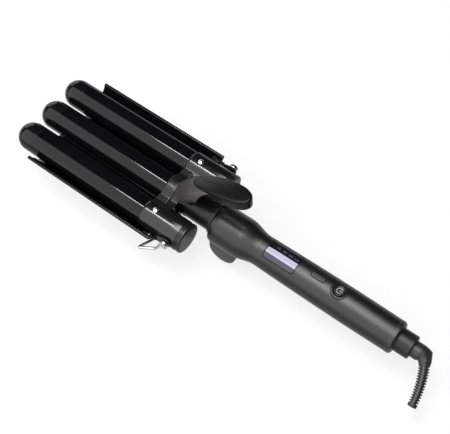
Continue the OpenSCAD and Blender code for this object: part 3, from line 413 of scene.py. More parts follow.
def plate_under(y):
    bed = [hollow(abs(y), BARREL_PITCH, TROUGH_RADIUS + PLATE_THICK)]
    bed.append(-BARREL_RADIUS - PLATE_THICK if abs(y) < RIDGE_HALF else None)
    low = min(z for z in bed if z is not None)
    groove = hollow(abs(y), BARREL_PITCH / 2, GROOVE_RADIUS)
    return low if groove is None else max(low, GROOVE_HEIGHT - groove)


foot = [(BARREL_PITCH + r * math.cos(WALL_FOOT), -r * math.sin(WALL_FOOT))
        for r in (TROUGH_RADIUS, TROUGH_RADIUS + PLATE_THICK)]
edge = [(WALL_TOP[0] - PLATE_THICK / 2, WALL_TOP[1]),
        (WALL_TOP[0] + PLATE_THICK / 2, WALL_TOP[1] - 0.3)]
section = [((y, plate_top(y)), (y, plate_under(y))) for y in [BED_STEP * k for k in range(BED_STEPS)]]
for t in [i / WALL_STEPS for i in range(WALL_STEPS + 1)]:
    section.append([(a[0] + (b[0] - a[0]) * t, a[1] + (b[1] - a[1]) * t) for a, b in zip(foot, edge)])
section = [[(-y, z) for y, z in pair] for pair in reversed(section[1:])] + section
plate_rows = [PLATE_FRONT + (PLATE_REAR - PLATE_FRONT) * i / PLATE_STEPS for i in range(PLATE_STEPS + 1)]
points, faces = sheet_solid(len(plate_rows), len(section),
                            lambda i, j: at(plate_rows[i], *section[j][0]),
                            lambda i, j: at(plate_rows[i], *section[j][1]))
rim_ends = ((0, 0.3), (0.05, 0.15), (0.2, 0.05), (0.4, 0))
rim_rows = [(PLATE_FRONT + x, less) for x, less in rim_ends]
rim_rows += [(x, 0) for x in plate_rows[1:-1]]
rim_rows += [(PLATE_REAR - x, less) for x, less in reversed(rim_ends)]
for side in (-1, 1):
    turns = [2 * math.pi * k / 24 for k in range(24)]
    rims = [(x, RIM_RADIUS - less) for x, less in rim_rows]
    rings = [[at(x, side * RIM_Y + r * math.sin(a), RIM_Z + r * math.cos(a)) for a in turns]
             for x, r in rims]
    rim_points, rim_faces = loft(rings)
    faces += [tuple(len(points) + k for k in face) for face in rim_faces]
    points += rim_points
piece_from("plate_under_barrels", points, faces, "lower_jaw", "barrel_coating", barrel_coat,
           ("wave_plate",))

# ---- Small parts -----------------------------------------------------------------------------
# The straps, the neck and the collars are satin mouldings, and pins, screws and rivets are
# bright steel.
def dress(material, *nodes):
    """Gives a finish to nodes whose shape stays as it is."""
    for name in nodes:
        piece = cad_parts[name]
        piece.data.materials.clear()
        piece.data.materials.append(material)


satin = gloss_black("satin_black", (0.0025, 0.0025, 0.0027), 0.34, 0.00001, 0.15)
dress(satin, "neck", "cord_collar", "strap_left", "strap_right")


def bright_metal(name, colour, rough):
    """Bare or plated steel: fine drawn lines, a duller bloom in patches and brighter edges."""
    finish = Finish(name)
    lines = finish.noise(1800, 3, (0.15, 1, 1))
    bloom = finish.noise(220, 3)
    rubbed = finish.node("ShaderNodeNewGeometry", out="Pointiness").over(0.58, 0.06)
    dull = finish.mix(bloom, tuple(c * 0.82 for c in colour), colour)
    return finish.skin(
        Base_Color=finish.mix(rubbed, dull, tuple(min(c * 1.15, 0.9) for c in colour)),
        Metallic=1.0,
        Roughness=rough + (bloom - 0.5) * 0.08 + (lines - 0.5) * 0.05,
        Normal=finish.bump(lines, 0.000002))


steel = bright_metal("screw_steel", (0.56, 0.56, 0.56), 0.2)
dress(steel, "plate_screws", "sleeve_screws", "jaw_pin", "fold_pin", "handle_screws", "strap_rivets")

# ---- Inner pieces ----------------------------------------------------------------------------
# What the openings let one glimpse: tan film round the ceramic heaters, the green board with its
# solder mask and the dark blue glass of the display module.
def matt(name, low, high, rough, cloud=60, grain=1500, depth=0.00001):
    """A plain surface: two close colours in clouds, with a fine grain."""
    finish = Finish(name)
    return finish.skin(
        Base_Color=finish.mix(finish.noise(cloud, 4), low, high),
        Roughness=rough + (finish.noise(grain, 2) - 0.5) * 0.12,
        Normal=finish.bump(finish.noise(grain, 3), depth))


heater_film = matt("heater_film", (0.36, 0.22, 0.08), (0.46, 0.30, 0.13), 0.42, 120)
dress(heater_film, "middle_heater", "outer_heater_left", "outer_heater_right")
solder_mask = matt("solder_mask", (0.008, 0.09, 0.028), (0.014, 0.14, 0.045), 0.34, 260)
dress(solder_mask, "circuit_board")
module_glass = matt("module_glass", (0.006, 0.008, 0.040), (0.010, 0.014, 0.060), 0.12,
                    90, 2400, 0.000002)
dress(module_glass, "display_module")

# ---- Lever -----------------------------------------------------------------------------------
# A satin moulding: a hood that arches over the hinge and its spring, with a skirt on each side,
# narrowing behind the hinge to the tongue that carries the thumb pad.
LEVER_CENTRES = ((209.62, -18.6, 71.0), (228.15, -49.49, 107.0))
LEVER_HEADINGS = (60.0, 31.0, 9.0)
LEVER_ARCH = 13.8
LEVER_WALL = 1.9
HOOD_SPAN, TONGUE_SPAN = 78.0, 33.0
NARROWS_FROM, NARROWS_OVER = 0.86, 0.6
HOOD_START, SKIRT_SET_BACK, TONGUE_END = -0.08, 0.19, 1.93


def lever_place(t, drop, y):
    """A point of the lever: t runs 0 to 1 over the hood, 1 to 2 under the pad, drop is inward."""
    first, second, third = LEVER_HEADINGS
    heading = first + (second - first) * t if t < 1 else second + (third - second) * (t - 1)
    x, z, r = LEVER_CENTRES[0 if t < 1 else 1]
    h = math.radians(heading)
    return at(x - (r - drop) * math.sin(h), y, z + (r - drop) * math.cos(h))


def hood_span(t):
    """How far round its arch the lever reaches on each side, in degrees."""
    if t < NARROWS_FROM:
        return HOOD_SPAN
    q = min((t - NARROWS_FROM) / NARROWS_OVER, 1)
    return TONGUE_SPAN + (HOOD_SPAN - TONGUE_SPAN) * (1 - q) ** 2


LEVER_ROWS, LEVER_COLUMNS = 90, 49


def lever_grid(wall):
    def point(i, j):
        u = -1 + 2 * j / (LEVER_COLUMNS - 1)
        start = HOOD_START + SKIRT_SET_BACK * abs(u) ** 1.6
        t = start + (TONGUE_END - start) * i / (LEVER_ROWS - 1)
        angle = math.radians(hood_span(t) * u)
        reach = LEVER_ARCH - wall
        return lever_place(t, LEVER_ARCH - reach * math.cos(angle), reach * math.sin(angle))
    return point


points, faces = sheet_solid(LEVER_ROWS, LEVER_COLUMNS, lever_grid(0), lever_grid(LEVER_WALL))
lever_plastic = gloss_black("lever_plastic", (0.010, 0.0092, 0.0085), 0.36, 0.00001, 0.32)
lever_piece = piece_from("lever_hood", points, faces, "upper_jaw", "satin_plastic", lever_plastic,
                         ("lever",))
rim_round = lever_piece.modifiers.new("rim", "BEVEL")
rim_round.width, rim_round.segments, rim_round.angle_limit = 0.4 * MM, 3, math.radians(50)

# ---- Thumb pad -------------------------------------------------------------------------------
# A teardrop cap in soft-touch plastic that clips over the tongue: a crowned top, a rounded rim
# and walls that deepen from its tip to its blunt end.
PAD_START, PAD_END = 0.705, 2.16
PAD_HALF = 8.8
PAD_TOP = -1.3
PAD_EDGE, PAD_DEPTH, PAD_CROWN = 1.4, 8.0, 0.9
PAD_HALF_LENGTH = 25.3
PAD_BROAD = 0.66


def pad_half(s):
    """Half the pad's width at a share of its length, widest nearer its rear."""
    q = 1 - s / PAD_BROAD if s < PAD_BROAD else (s - PAD_BROAD) / (1 - PAD_BROAD)
    return PAD_HALF * max(0.0, 1 - abs(q) ** 2.4) ** 0.476


PAD_RINGS = 120


def pad_ring(shrink, drop):
    """Points round the pad's outline, drawn in by shrink, at a depth under its top."""
    ring = []
    for k in range(PAD_RINGS):
        angle = 2 * math.pi * k / PAD_RINGS
        s = (1 - math.cos(angle)) / 2
        side = 1 if math.sin(angle) >= 0 else -1
        s_in = 0.5 + (s - 0.5) * (1 - shrink / PAD_HALF_LENGTH)
        half = max(0.0, pad_half(s) * (1 - shrink / PAD_HALF)) * side
        ring.append((s_in, half, drop))
    return ring


def pad_place(s, y, drop):
    t = PAD_START + (PAD_END - PAD_START) * s
    crown = PAD_CROWN * (y / PAD_HALF) ** 2
    return lever_place(t, PAD_TOP + crown + drop, y)


def pad_depth(s):
    """How deep the pad's wall goes, from its shallow tip to its blunt end."""
    return PAD_EDGE + PAD_DEPTH * min(1.0, max(0.0, (s - 0.06) / 0.42)) ** 0.8


levels = [(8.6, 0), (7, 0), (5, 0), (3, 0), (1.6, 0.02), (0.9, 0.08), (0.4, 0.28), (0.1, 0.62), (0, 1)]
rings = [[pad_place(s, y, drop) for s, y, drop in pad_ring(shrink, drop)] for shrink, drop in levels]
rings += [[pad_place(s, y, max(1.0, share * pad_depth(s))) for s, y, _ in pad_ring(shrink, 0)]
          for share, shrink in ((0.5, 0.1), (1.0, 0.25))]
rings.append([pad_place(s, y, pad_depth(s) - 0.1) for s, y, _ in pad_ring(1.6, 0)])
pad_plastic = gloss_black("pad_plastic", (0.0016, 0.0016, 0.0018), 0.3, 0.000006, 0.085)
piece_from("thumb_pad_cap", *loft(rings), "upper_jaw", "satin_plastic", pad_plastic, ("thumb_pad",))

# ---- Bridge ----------------------------------------------------------------------------------
# The saddle that ties the two outer sleeves together, moulded in heat-proof plastic: it arches
# over the middle barrel, dips on each side of it and runs up on to the sleeves.
bridge_plastic = gloss_black("bridge_plastic", (0.0028, 0.0028, 0.003), 0.28, 0.000003, 0.17)
BRIDGE_FRONT = 138.0
ARCH_RADIUS, ARCH_INSIDE = 14.9, 13.3
SHOULDER_RADIUS, SHOULDER_INSIDE = 13.26, 12.6
BRIDGE_BLEND, BRIDGE_LOW = 2.2, 3.0
BRIDGE_EDGE = 23.6
BRIDGE_VALLEY = 9.6
BRIDGE_LEDGE, LEDGE_LONG, LEDGE_DROP = 9.4, 2.05, 1.15
BRIDGE_ROWS = [
    0, 0.05, 0.15, 0.3, 0.5, 0.75, 1.05, 1.4, 2.2, 4, 6, 8, 9.4, 9.9, 10.3, 10.6, 10.85, 11.05,
    11.25, 11.45, 11.7, 12.1, 13, 15, 16.4, 16.75, 17.0]
BRIDGE_COLUMNS = 121


def smooth_peak(a, b, blend):
    """The larger of two heights, rounded where they cross."""
    h = max(blend - abs(a - b), 0) / blend
    return max(a, b) + h * h * blend / 4


def bridge_top(y):
    arch = math.sqrt(max(ARCH_RADIUS ** 2 - y * y, 0))
    shoulder = math.sqrt(max(SHOULDER_RADIUS ** 2 - (BARREL_PITCH - abs(y)) ** 2, 0))
    return smooth_peak(smooth_peak(arch, BRIDGE_VALLEY, BRIDGE_BLEND), shoulder, BRIDGE_BLEND)


def bridge_under(y):
    arch = math.sqrt(max(ARCH_INSIDE ** 2 - y * y, 0))
    shoulder = math.sqrt(max(SHOULDER_INSIDE ** 2 - (BARREL_PITCH - abs(y)) ** 2, 0))
    return max(BRIDGE_LOW, arch, shoulder)


def bridge_grid(inner):
    def point(i, j):
        along = BRIDGE_ROWS[i]
        y = BRIDGE_EDGE * (-1 + 2 * j / (BRIDGE_COLUMNS - 1))
        if inner:
            return at(BRIDGE_FRONT + along, y, bridge_under(y))
        front = 1.05 * (1 - math.sqrt(1 - (1 - min(along / 1.4, 1)) ** 2))
        step = min(max((along - BRIDGE_LEDGE) / LEDGE_LONG, 0), 1)
        inboard = max(0.0, 1 - max(0.0, abs(y) - 9) / 9) ** 0.5
        ledge = LEDGE_DROP * step * step * (3 - 2 * step) * inboard
        z = max(bridge_top(y) - front - ledge, bridge_under(y) + 0.3)
        return at(BRIDGE_FRONT + along, y, z)
    return point


form = sheet_solid(len(BRIDGE_ROWS), BRIDGE_COLUMNS, bridge_grid(False), bridge_grid(True))
piece_from("bridge_saddle", *form, "upper_jaw", "gloss_plastic", bridge_plastic, ("bridge",), 50)

# ---- Sleeves ---------------------------------------------------------------------------------
# A heat-proof collar round the rear of each outer barrel, with a coned lip at its front and a
# rounded edge where its cap closes it.
sleeve_plastic = gloss_black("sleeve_plastic", (0.0018, 0.0018, 0.002), 0.17, 0.0000015, 0.26)
SLEEVE_PROFILE = (
    (137.4, 12.54), (137.42, 12.66), (137.6, 12.8), (138.5, 13.12), (138.9, 13.19), (139.4, 13.2),
    (150, 13.2), (162, 13.2), (173.4, 13.2), (173.7, 13.15), (173.85, 13.0), (173.88, 12.54))
for cad in ("sleeve_left", "sleeve_right"):
    side = math.copysign(1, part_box(cad)[0].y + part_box(cad)[1].y)
    form = loft(turned(SLEEVE_PROFILE, side * BARREL_PITCH), True)
    piece_from("collar_of_" + cad, *form, "upper_jaw", "gloss_plastic", sleeve_plastic, (cad,))

# ---- Stand -----------------------------------------------------------------------------------
# One length of plated spring wire: an eye round a pin on each side, arms outside the wave plate,
# two V feet and a cross bar.
chrome = bright_metal("wire_chrome", (0.38, 0.372, 0.355), 0.2)
dress(chrome, "stand_pin_left", "stand_pin_right")
WIRE_RADIUS, WIRE_BEND = 1.2, 3.2
EYE_RADIUS, EYE_END, EYE_SWEEP = 2.35, 157.6, 262
STAND_PIVOT = (168.0, 45.1, 3.0)


def wire(line, radius, sides=18):
    """A round wire along a line of points, its rings carried without twist."""
    rings, side = [], None
    for i, place in enumerate(line):
        way = (line[min(i + 1, len(line) - 1)] - line[max(i - 1, 0)]).normalized()
        side = way.orthogonal() if side is None else side
        side = (side - way * side.dot(way)).normalized()
        lift = way.cross(side)
        turns = [2 * math.pi * k / sides for k in range(sides)]
        rings.append([place + radius * MM * (side * math.cos(a) + lift * math.sin(a)) for a in turns])
    return loft(rings)


def bent(corners, bend):
    """The centre line of a wire bent at its corners."""
    line = [corners[0]]
    for before, corner, after in zip(corners, corners[1:], corners[2:]):
        reach = min(bend * MM, (corner - before).length * 0.45, (after - corner).length * 0.45)
        start = corner + (before - corner).normalized() * reach
        end = corner + (after - corner).normalized() * reach
        steps = [i / 8 for i in range(9)]
        line += [start * (1 - s) ** 2 + corner * 2 * s * (1 - s) + end * s ** 2 for s in steps]
    return line + [corners[-1]]


def stand_eye(side):
    """The open loop that a side arm ends in, from its free end to where the arm leaves it."""
    x, y, z = STAND_PIVOT
    turns = [math.radians(EYE_END - EYE_SWEEP * (1 - i / 24)) for i in range(25)]
    return [at(x + EYE_RADIUS * math.cos(a), side * y, z + EYE_RADIUS * math.sin(a)) for a in turns]


stand_side = ((160.0, 46.4, -10.2), (145.0, 52.2, -15.9), (150.8, 37.0, -16.3),
              (124.0, 21.0, -35.88), (110.0, 17.0, -16.3))
corners = [stand_eye(-1)[-1]] + [at(x, -y, z) for x, y, z in stand_side]
corners += [at(x, y, z) for x, y, z in reversed(stand_side)] + [stand_eye(1)[-1]]
line = stand_eye(-1)[:-1] + bent(corners, WIRE_BEND) + list(reversed(stand_eye(1)[:-1]))
points, faces = wire(line, WIRE_RADIUS)
piece_from("stand_wire", points, faces, "stand", "chrome", chrome, ("stand",))

# ---- Jaw spring ------------------------------------------------------------------------------
# A torsion spring wound from steel wire round the hinge pin, one leg under the lever's crown and
# a short tail that dips between the neck's lugs.
spring_wire = bright_metal("spring_wire", (0.34, 0.34, 0.35), 0.28)
JAW_PIN = (160.0, 16.0)
SPRING_RADIUS, SPRING_WIDTH, SPRING_WIRE_RADIUS = 2.9, 7.0, 0.55
SPRING_START, SPRING_SWEEP, SPRING_STEPS = 134.0, 1324.0, 110


def spring_turn(t):
    a = math.radians(SPRING_START - SPRING_SWEEP * t)
    return at(JAW_PIN[0] + SPRING_RADIUS * math.cos(a), SPRING_WIDTH * (t - 0.5),
              JAW_PIN[1] + SPRING_RADIUS * math.sin(a))


def spring_leg(t, heading, length):
    h = math.radians(heading)
    return spring_turn(t) + Vector((math.cos(h), 0, math.sin(h))) * length * MM


line = [spring_turn(i / SPRING_STEPS) for i in range(SPRING_STEPS + 1)]
line = [spring_leg(0, 44, 11)] + line + [spring_leg(1, 160, 4.2)]
points, faces = wire(line, SPRING_WIRE_RADIUS, 12)
piece_from("jaw_spring_coil", points, faces, "upper_jaw", "spring_steel", spring_wire, ("jaw_spring",))

# ---- Handle shells ---------------------------------------------------------------------------
# Two mouldings in fine satin plastic that meet along the grip's sides, screwed together from
# below. The bulb at the front carries the fold slot and the two round ears of the fold.
soft = gloss_black("soft_black", (0.0018, 0.0018, 0.002), 0.36, 0.00001, 0.27)
dress(soft, "end_ring")
HANDLE_FRONT, HANDLE_LENGTH, HANDLE_AXIS = 187.6, 164.0, -3.5
SHELL_WALL, HOLLOW_FROM, PARTING_STEP = 2.2, 27, 0.22
BULB_RADIUS, MOUTH_ROUND = 16.9, 0.6
NOSE_DROP, NOSE_LONG = 0.8, 6
WAIST_DROP, WAIST_FROM, WAIST_OVER = 3.7, 24, 19
SWELL, SWELL_FROM, SWELL_OVER = 0.8, 43, 125.6
FOLD = (200.0, -21.0)
EAR_RADIUS, EAR_INNER, EAR_TOP = 12.4, 8.5, -6.0
EAR_LEVELS = ((0, 0), (0, 3.9), (0.08, 4.3), (0.32, 4.7), (0.7, 4.93), (1.1, 5.0))
SLOT_RADIUS = 12.8
SLOT_CORNERS_BELOW = [(186, -60), (212.8, -60)]
SLOT_CORNERS_ABOVE = [(199.8, -8.2), (199.8, 5.2), (186, 5.2)]


def handle_radius(d):
    """The handle's radius at a distance from its front end."""
    narrow = min(max((d - WAIST_FROM) / WAIST_OVER, 0), 1)
    narrow = narrow * narrow * (3 - 2 * narrow)
    swell = SWELL * math.sin(math.pi * 0.86 * max(0, d - SWELL_FROM) / SWELL_OVER)
    nose = NOSE_DROP * (1 - min(d / NOSE_LONG, 1)) ** 2
    edge = MOUTH_ROUND * (1 - math.sqrt(1 - (1 - min(d / MOUTH_ROUND, 1)) ** 2))
    return BULB_RADIUS - nose - edge - WAIST_DROP * narrow + swell


def round_handle(d, angle, radius):
    """A point round the handle: angle from its top line, growing toward the far side."""
    return at(HANDLE_FRONT + d, radius * math.sin(angle), HANDLE_AXIS + radius * math.cos(angle))


shell_rows = [0, 0.08, 0.2, 0.4, 0.6, 1, 1.5, 2, 2.6, 3.2, 4, 5, 6]
shell_rows += [6 + (HANDLE_LENGTH - 6) * i / 130 for i in range(1, 131)]
shell_turns = [0.35, 1.3] + [1.3 + 177.4 * i / 70 for i in range(1, 70)] + [178.7, 179.65]


def shell_grid(turn, inner):
    """Points of half the handle's skin, or of its inside, from one parting line to the other."""
    def point(i, j):
        d, angle = shell_rows[i], math.radians(shell_turns[j] + turn)
        radius = handle_radius(d) - (PARTING_STEP if j in (0, len(shell_turns) - 1) else 0)
        if inner:
            radius = radius - SHELL_WALL if d > HOLLOW_FROM else 1.0
        return round_handle(d, angle, radius)
    return point


def carve(piece, form, operation="DIFFERENCE", angle=32):
    """Cuts a closed form out of a piece, or joins it on, and sets the sharp edges again."""
    mesh = bpy.data.meshes.new("form")
    mesh.from_pydata(form[0], [], form[1])
    work = bmesh.new()
    work.from_mesh(mesh)
    bmesh.ops.recalc_face_normals(work, faces=work.faces)
    work.to_mesh(mesh)
    work.free()
    cutter = bpy.data.objects.new("form", mesh)
    bpy.context.scene.collection.objects.link(cutter)
    cut = piece.modifiers.new("cut", "BOOLEAN")
    cut.object, cut.operation, cut.solver = cutter, operation, "EXACT"
    bpy.context.view_layer.update()
    made = bpy.data.meshes.new_from_object(piece.evaluated_get(bpy.context.evaluated_depsgraph_get()))
    piece.modifiers.remove(cut)
    bpy.data.objects.remove(cutter)
    soften(made, angle)
    piece.data = made


def across_handle(outline, half):
    """A form drawn in x and z and carried across the handle to half a width on each side."""
    return loft([[at(x, y, z) for x, z in outline] for y in (-half, half)])


def upright(outline, low, high):
    """A form drawn in x and y and carried up from one height to another."""
    return loft([[at(x, y, z) for x, y in outline] for z in (low, high)])


def circle(x, y, radius, count=64):
    turns = [2 * math.pi * k / count for k in range(count)]
    return [(x + radius * math.cos(a), y + radius * math.sin(a)) for a in turns]


def rounded_box(x, y, length, width, corner, count=10):
    """A rectangle with rounded corners, or a stadium where the corner is half the width."""
    line = []
    for turn, sx, sy in ((0, 1, 1), (90, -1, 1), (180, -1, -1), (270, 1, -1)):
        for k in range(count + 1):
            a = math.radians(turn + 90 * k / count)
            line.append((x + sx * (length / 2 - corner) + corner * math.cos(a),
                         y + sy * (width / 2 - corner) + corner * math.sin(a)))
    return line


DISPLAY = (250.1, 29.0, 18.0, 2.5)
MODE_BUTTON = (282.6, 12.5, 4.2)
KEY_CLEARANCE = 0.9
POWER_BUTTON = (301.6, 8.6, 14.4)
SCREWS = (223.6, 327.6)
SEAT_RADIUS, SEAT_DEPTH = 2.7, 1.8
SHELLS = (("handle_shell_top", -90, "handle_top"), ("handle_shell_bottom", 90, "handle_bottom"))

for name, turn, cad in SHELLS:
    outside, inside = shell_grid(turn, False), shell_grid(turn, True)
    form = sheet_solid(len(shell_rows), len(shell_turns), outside, inside)
    shell = piece_from(name, *form, "handle", "soft_plastic", soft, (cad,), 32)
    if turn > 0:
        half_turn = [math.pi * k / 40 for k in range(41)]
        for side in (-1, 1):
            rings = []
            for shrink, y in EAR_LEVELS:
                r = EAR_RADIUS - shrink
                ear = [(FOLD[0] + r * math.cos(a), FOLD[1] - r * math.sin(a)) for a in half_turn]
                ear += [(FOLD[0] - r, EAR_TOP), (FOLD[0] + r, EAR_TOP)]
                rings.append([at(x, side * (EAR_INNER + y), z) for x, z in ear])
            carve(shell, loft(rings), "UNION")
    arc = [math.radians(6 * k) for k in range(16)]
    slot = [(FOLD[0] + SLOT_RADIUS * math.cos(a), FOLD[1] + SLOT_RADIUS * math.sin(a)) for a in arc]
    carve(shell, across_handle(SLOT_CORNERS_BELOW + slot + SLOT_CORNERS_ABOVE, EAR_INNER))
    if turn < 0:
        x, length, width, corner = DISPLAY
        carve(shell, upright(rounded_box(x, 0, length, width, corner), 2, 20))
        x, length, width = MODE_BUTTON
        wide = width + KEY_CLEARANCE
        carve(shell, upright(rounded_box(x, 0, length + KEY_CLEARANCE, wide, wide / 2), 2, 20))
        x, _, ring = POWER_BUTTON
        carve(shell, upright(circle(x, 0, ring / 2), 2, 20))
    else:
        for x in SCREWS:
            bottom = HANDLE_AXIS - handle_radius(x - HANDLE_FRONT)
            carve(shell, upright(circle(x, 0, SEAT_RADIUS, 32), -30, bottom + SEAT_DEPTH))

# ---- Display ---------------------------------------------------------------------------------
# A smoked window, flush in the grip and smoother than the shell round it, with the temperatures
# lit under it in small blue figures.
def skin_height(x, y):
    """Height of the handle's skin over a place."""
    radius = handle_radius(x - HANDLE_FRONT)
    return HANDLE_AXIS + math.sqrt(radius * radius - y * y)


smoked = gloss_black("smoked_window", (0.003, 0.003, 0.0036), 0.03, 0.0000005, 0.5,
                     (0.80, 0.79, 1.0))
PANE_ROWS, PANE_COLUMNS = 64, 41
PANE_GAP, PANE_THICK, PANE_ROUND = 0.45, 1.1, 0.2


def pane_grid(depth):
    """Points of the pane from its front end to its rear end, in rows from side to side."""
    def point(i, j):
        x, length, width, corner = DISPLAY
        long, wide = length / 2 - PANE_GAP, width / 2 - PANE_GAP
        u = math.sin(math.pi / 2 * (-1 + 2 * i / (PANE_ROWS - 1)))
        v = math.sin(math.pi / 2 * (-1 + 2 * j / (PANE_COLUMNS - 1)))
        past = max(0.0, abs(u) * long - (long - corner))
        half = wide - (corner - math.sqrt(max(corner * corner - past * past, 0)))
        edge = min(long - abs(u) * long, half - abs(v) * half)
        drop = 0.15 * max(0.0, 1 - edge / PANE_ROUND) ** 2
        px, py = x + u * long, v * half
        return at(px, py, skin_height(px, py) - 0.03 - drop - depth)
    return point


form = sheet_solid(PANE_ROWS, PANE_COLUMNS, pane_grid(0), pane_grid(PANE_THICK))
piece_from("display_pane", *form, "handle", "window", smoked, ("display_window",))

figure_print = Finish("display_figures")
figure_print = figure_print.skin(
    Base_Color=figure_print.mix(figure_print.noise(1200, 2), (0.03, 0.04, 0.10), (0.05, 0.06, 0.14)),
    Roughness=0.35 + (figure_print.noise(1500, 2) - 0.5) * 0.1,
    Emission_Color=figure_print.mix(figure_print.noise(2500, 1), (0.10, 0.13, 0.28), (0.17, 0.20, 0.38)),
    Emission_Strength=0.22,
    Normal=figure_print.bump(figure_print.noise(4000, 1), 0.000003))
FIGURES = (("160", 243.2, 2.2), ("180", 248.9, 2.0), ("200", 254.6, 1.8), ("220", 260.3, 1.6))
FIGURE_PITCH, FIGURE_SIZE, STROKE_HALF = 1.3, 0.8, 0.09
FIGURE_STROKES = {"0": "abcdef", "1": "bc", "2": "abged", "4": "fgbc", "6": "afgedc", "8": "abcdefg"}
STROKE_ENDS = {"a": ((0, 2), (1, 2)), "b": ((1, 2), (1, 1)), "c": ((1, 1), (1, 0)),
               "d": ((1, 0), (0, 0)), "e": ((0, 0), (0, 1)), "f": ((0, 1), (0, 2)),
               "g": ((0, 1), (1, 1))}
BOX_FACES = ((0, 1, 2, 3), (4, 7, 6, 5), (0, 4, 5, 1), (1, 5, 6, 2), (2, 6, 7, 3), (3, 7, 4, 0))
points, faces = [], []
for group, x, y in FIGURES:
    for place, figure in enumerate(group):
        for stroke in FIGURE_STROKES[figure]:
            left = x + (place - 1) * FIGURE_PITCH
            ends = [(left + u * FIGURE_SIZE, y + v * FIGURE_SIZE) for u, v in STROKE_ENDS[stroke]]
            (x0, y0), (x1, y1) = ends
            long = math.hypot(x1 - x0, y1 - y0)
            ax, ay = (x1 - x0) / long * STROKE_HALF, (y1 - y0) / long * STROKE_HALF
            flat = [(x0 + ax - ay, y0 + ay + ax), (x1 - ax - ay, y1 - ay + ax),
                    (x1 - ax + ay, y1 - ay - ax), (x0 + ax + ay, y0 + ay - ax)]
            n = len(points)
            points += [at(u, v, skin_height(u, v) + h) for h in (-0.03, 0.0) for u, v in flat]
            faces += [tuple(n + k for k in face) for face in BOX_FACES]
piece_from("display_figures", points, faces, "handle", "display", figure_print)

# ---- Mode button -----------------------------------------------------------------------------
# A small stadium in soft grey-black rubber that stands half a millimetre over the grip.
button_rubber = gloss_black("button_rubber", (0.009, 0.009, 0.0095), 0.5, 0.00001)
KEY_RISE, KEY_DEPTH, KEY_ROUND, CROWN_STEPS = 0.5, 3.3, 0.4, 4


def key_ring(shrink, drop):
    """A ring round the key, drawn in by shrink, at a depth under its crown."""
    x, length, width = MODE_BUTTON
    long, wide = length - 2 * shrink, width - 2 * shrink
    outline = rounded_box(x, 0, long, wide, min(max(width / 2 - 0.01 - shrink, 0.02), wide / 2))
    return [at(px, py, skin_height(px, py) + KEY_RISE - drop) for px, py in outline]


rings = [key_ring(0, KEY_DEPTH)]
for shrink in (0, 0.08, 0.2, KEY_ROUND):
    rings.append(key_ring(shrink, KEY_ROUND * (1 - math.sqrt(1 - (1 - shrink / KEY_ROUND) ** 2))))
reach = MODE_BUTTON[2] / 2 - 0.05 - KEY_ROUND
rings += [key_ring(KEY_ROUND + reach * i / CROWN_STEPS, 0) for i in range(1, CROWN_STEPS + 1)]
piece_from("mode_key", *loft(rings), "mode_button", "soft_plastic", button_rubber, ("mode_button",))

# ---- Power button ----------------------------------------------------------------------------
# A crowned ring set in the grip and, in it, a dished round key with the standby sign printed in
# pale grey.
x = POWER_BUTTON[0]


def turned_up(x, profile, count=72):
    """A form turned about an upright line at x: its profile gives radius and height."""
    return [[at(px, py, z) for px, py in circle(x, 0, r, count)] for r, z in profile]


TOP = skin_height(x, 0)


def bowed(rings, share=1.0):
    """Rings bent down across the handle, as the skin is."""
    def lowered(place):
        y = min(max(place.y / MM, -9), 9)
        return place - Vector((0, 0, share * (TOP - skin_height(x, y)) * MM))
    return [[lowered(place) for place in ring] for ring in rings]


profile = [(4.46, -3.6), (4.46, -0.55), (4.54, -0.36), (4.75, -0.2), (5.1, -0.08), (5.6, 0.08),
           (6.2, 0.14), (6.7, 0.06), (6.95, -0.06), (7.07, -0.2), (7.12, -0.45), (7.12, -3.6)]
rings = bowed(turned_up(x, [(r, TOP + z) for r, z in profile]))
piece_from("power_bezel", *loft(rings, True), "handle", "satin_plastic", satin, ("power_ring",))
profile = [(0.02, -4.6), (4.26, -4.6), (4.26, -0.3), (4.22, -0.12), (4.1, 0.02), (3.9, 0.08),
           (3.7, 0.02), (3.5, -0.12), (3.1, -0.3), (2.4, -0.42), (1.6, -0.48), (0.8, -0.5),
           (0.02, -0.5)]
rings = bowed(turned_up(x, [(r, TOP + z) for r, z in profile]), 0.35)
piece_from("power_key", *loft(rings), "power_button", "soft_plastic", soft, ("power_button",))

sign_print = Finish("sign_print")
sign_print = sign_print.skin(
    Base_Color=sign_print.mix(sign_print.noise(3000, 2), (0.09, 0.09, 0.095), (0.13, 0.13, 0.135)),
    Roughness=0.45 + (sign_print.noise(1500, 2) - 0.5) * 0.1,
    Normal=sign_print.bump(sign_print.noise(4000, 1), 0.000005))


def sign_stroke(line, half):
    """A printed stroke along a line of places on the key."""
    rings = []
    for i, (u, v) in enumerate(line):
        u0, v0 = line[max(i - 1, 0)]
        u1, v1 = line[min(i + 1, len(line) - 1)]
        long = math.hypot(u1 - u0, v1 - v0)
        nu, nv = -(v1 - v0) / long * half, (u1 - u0) / long * half
        z = TOP - 0.5 + 0.09 * (u * u + v * v) / 4.0
        rings.append([at(x + u + nu, v + nv, z - 0.02), at(x + u - nu, v - nv, z - 0.02),
                      at(x + u - nu, v - nv, z + 0.06), at(x + u + nu, v + nv, z + 0.06)])
    return loft(rings)


SIGN_RADIUS, SIGN_HALF = 2.35, 0.26
arc = [math.radians(a) for a in range(35, 326, 6)]
for name, line in (("sign_arc", [(SIGN_RADIUS * math.cos(a), SIGN_RADIUS * math.sin(a)) for a in arc]),
                   ("sign_bar", [(0.4, 0.0), (1.4, 0.0), (2.7, 0.0)])):
    piece_from(name, *sign_stroke(line, SIGN_HALF), "power_button", "soft_plastic", sign_print)

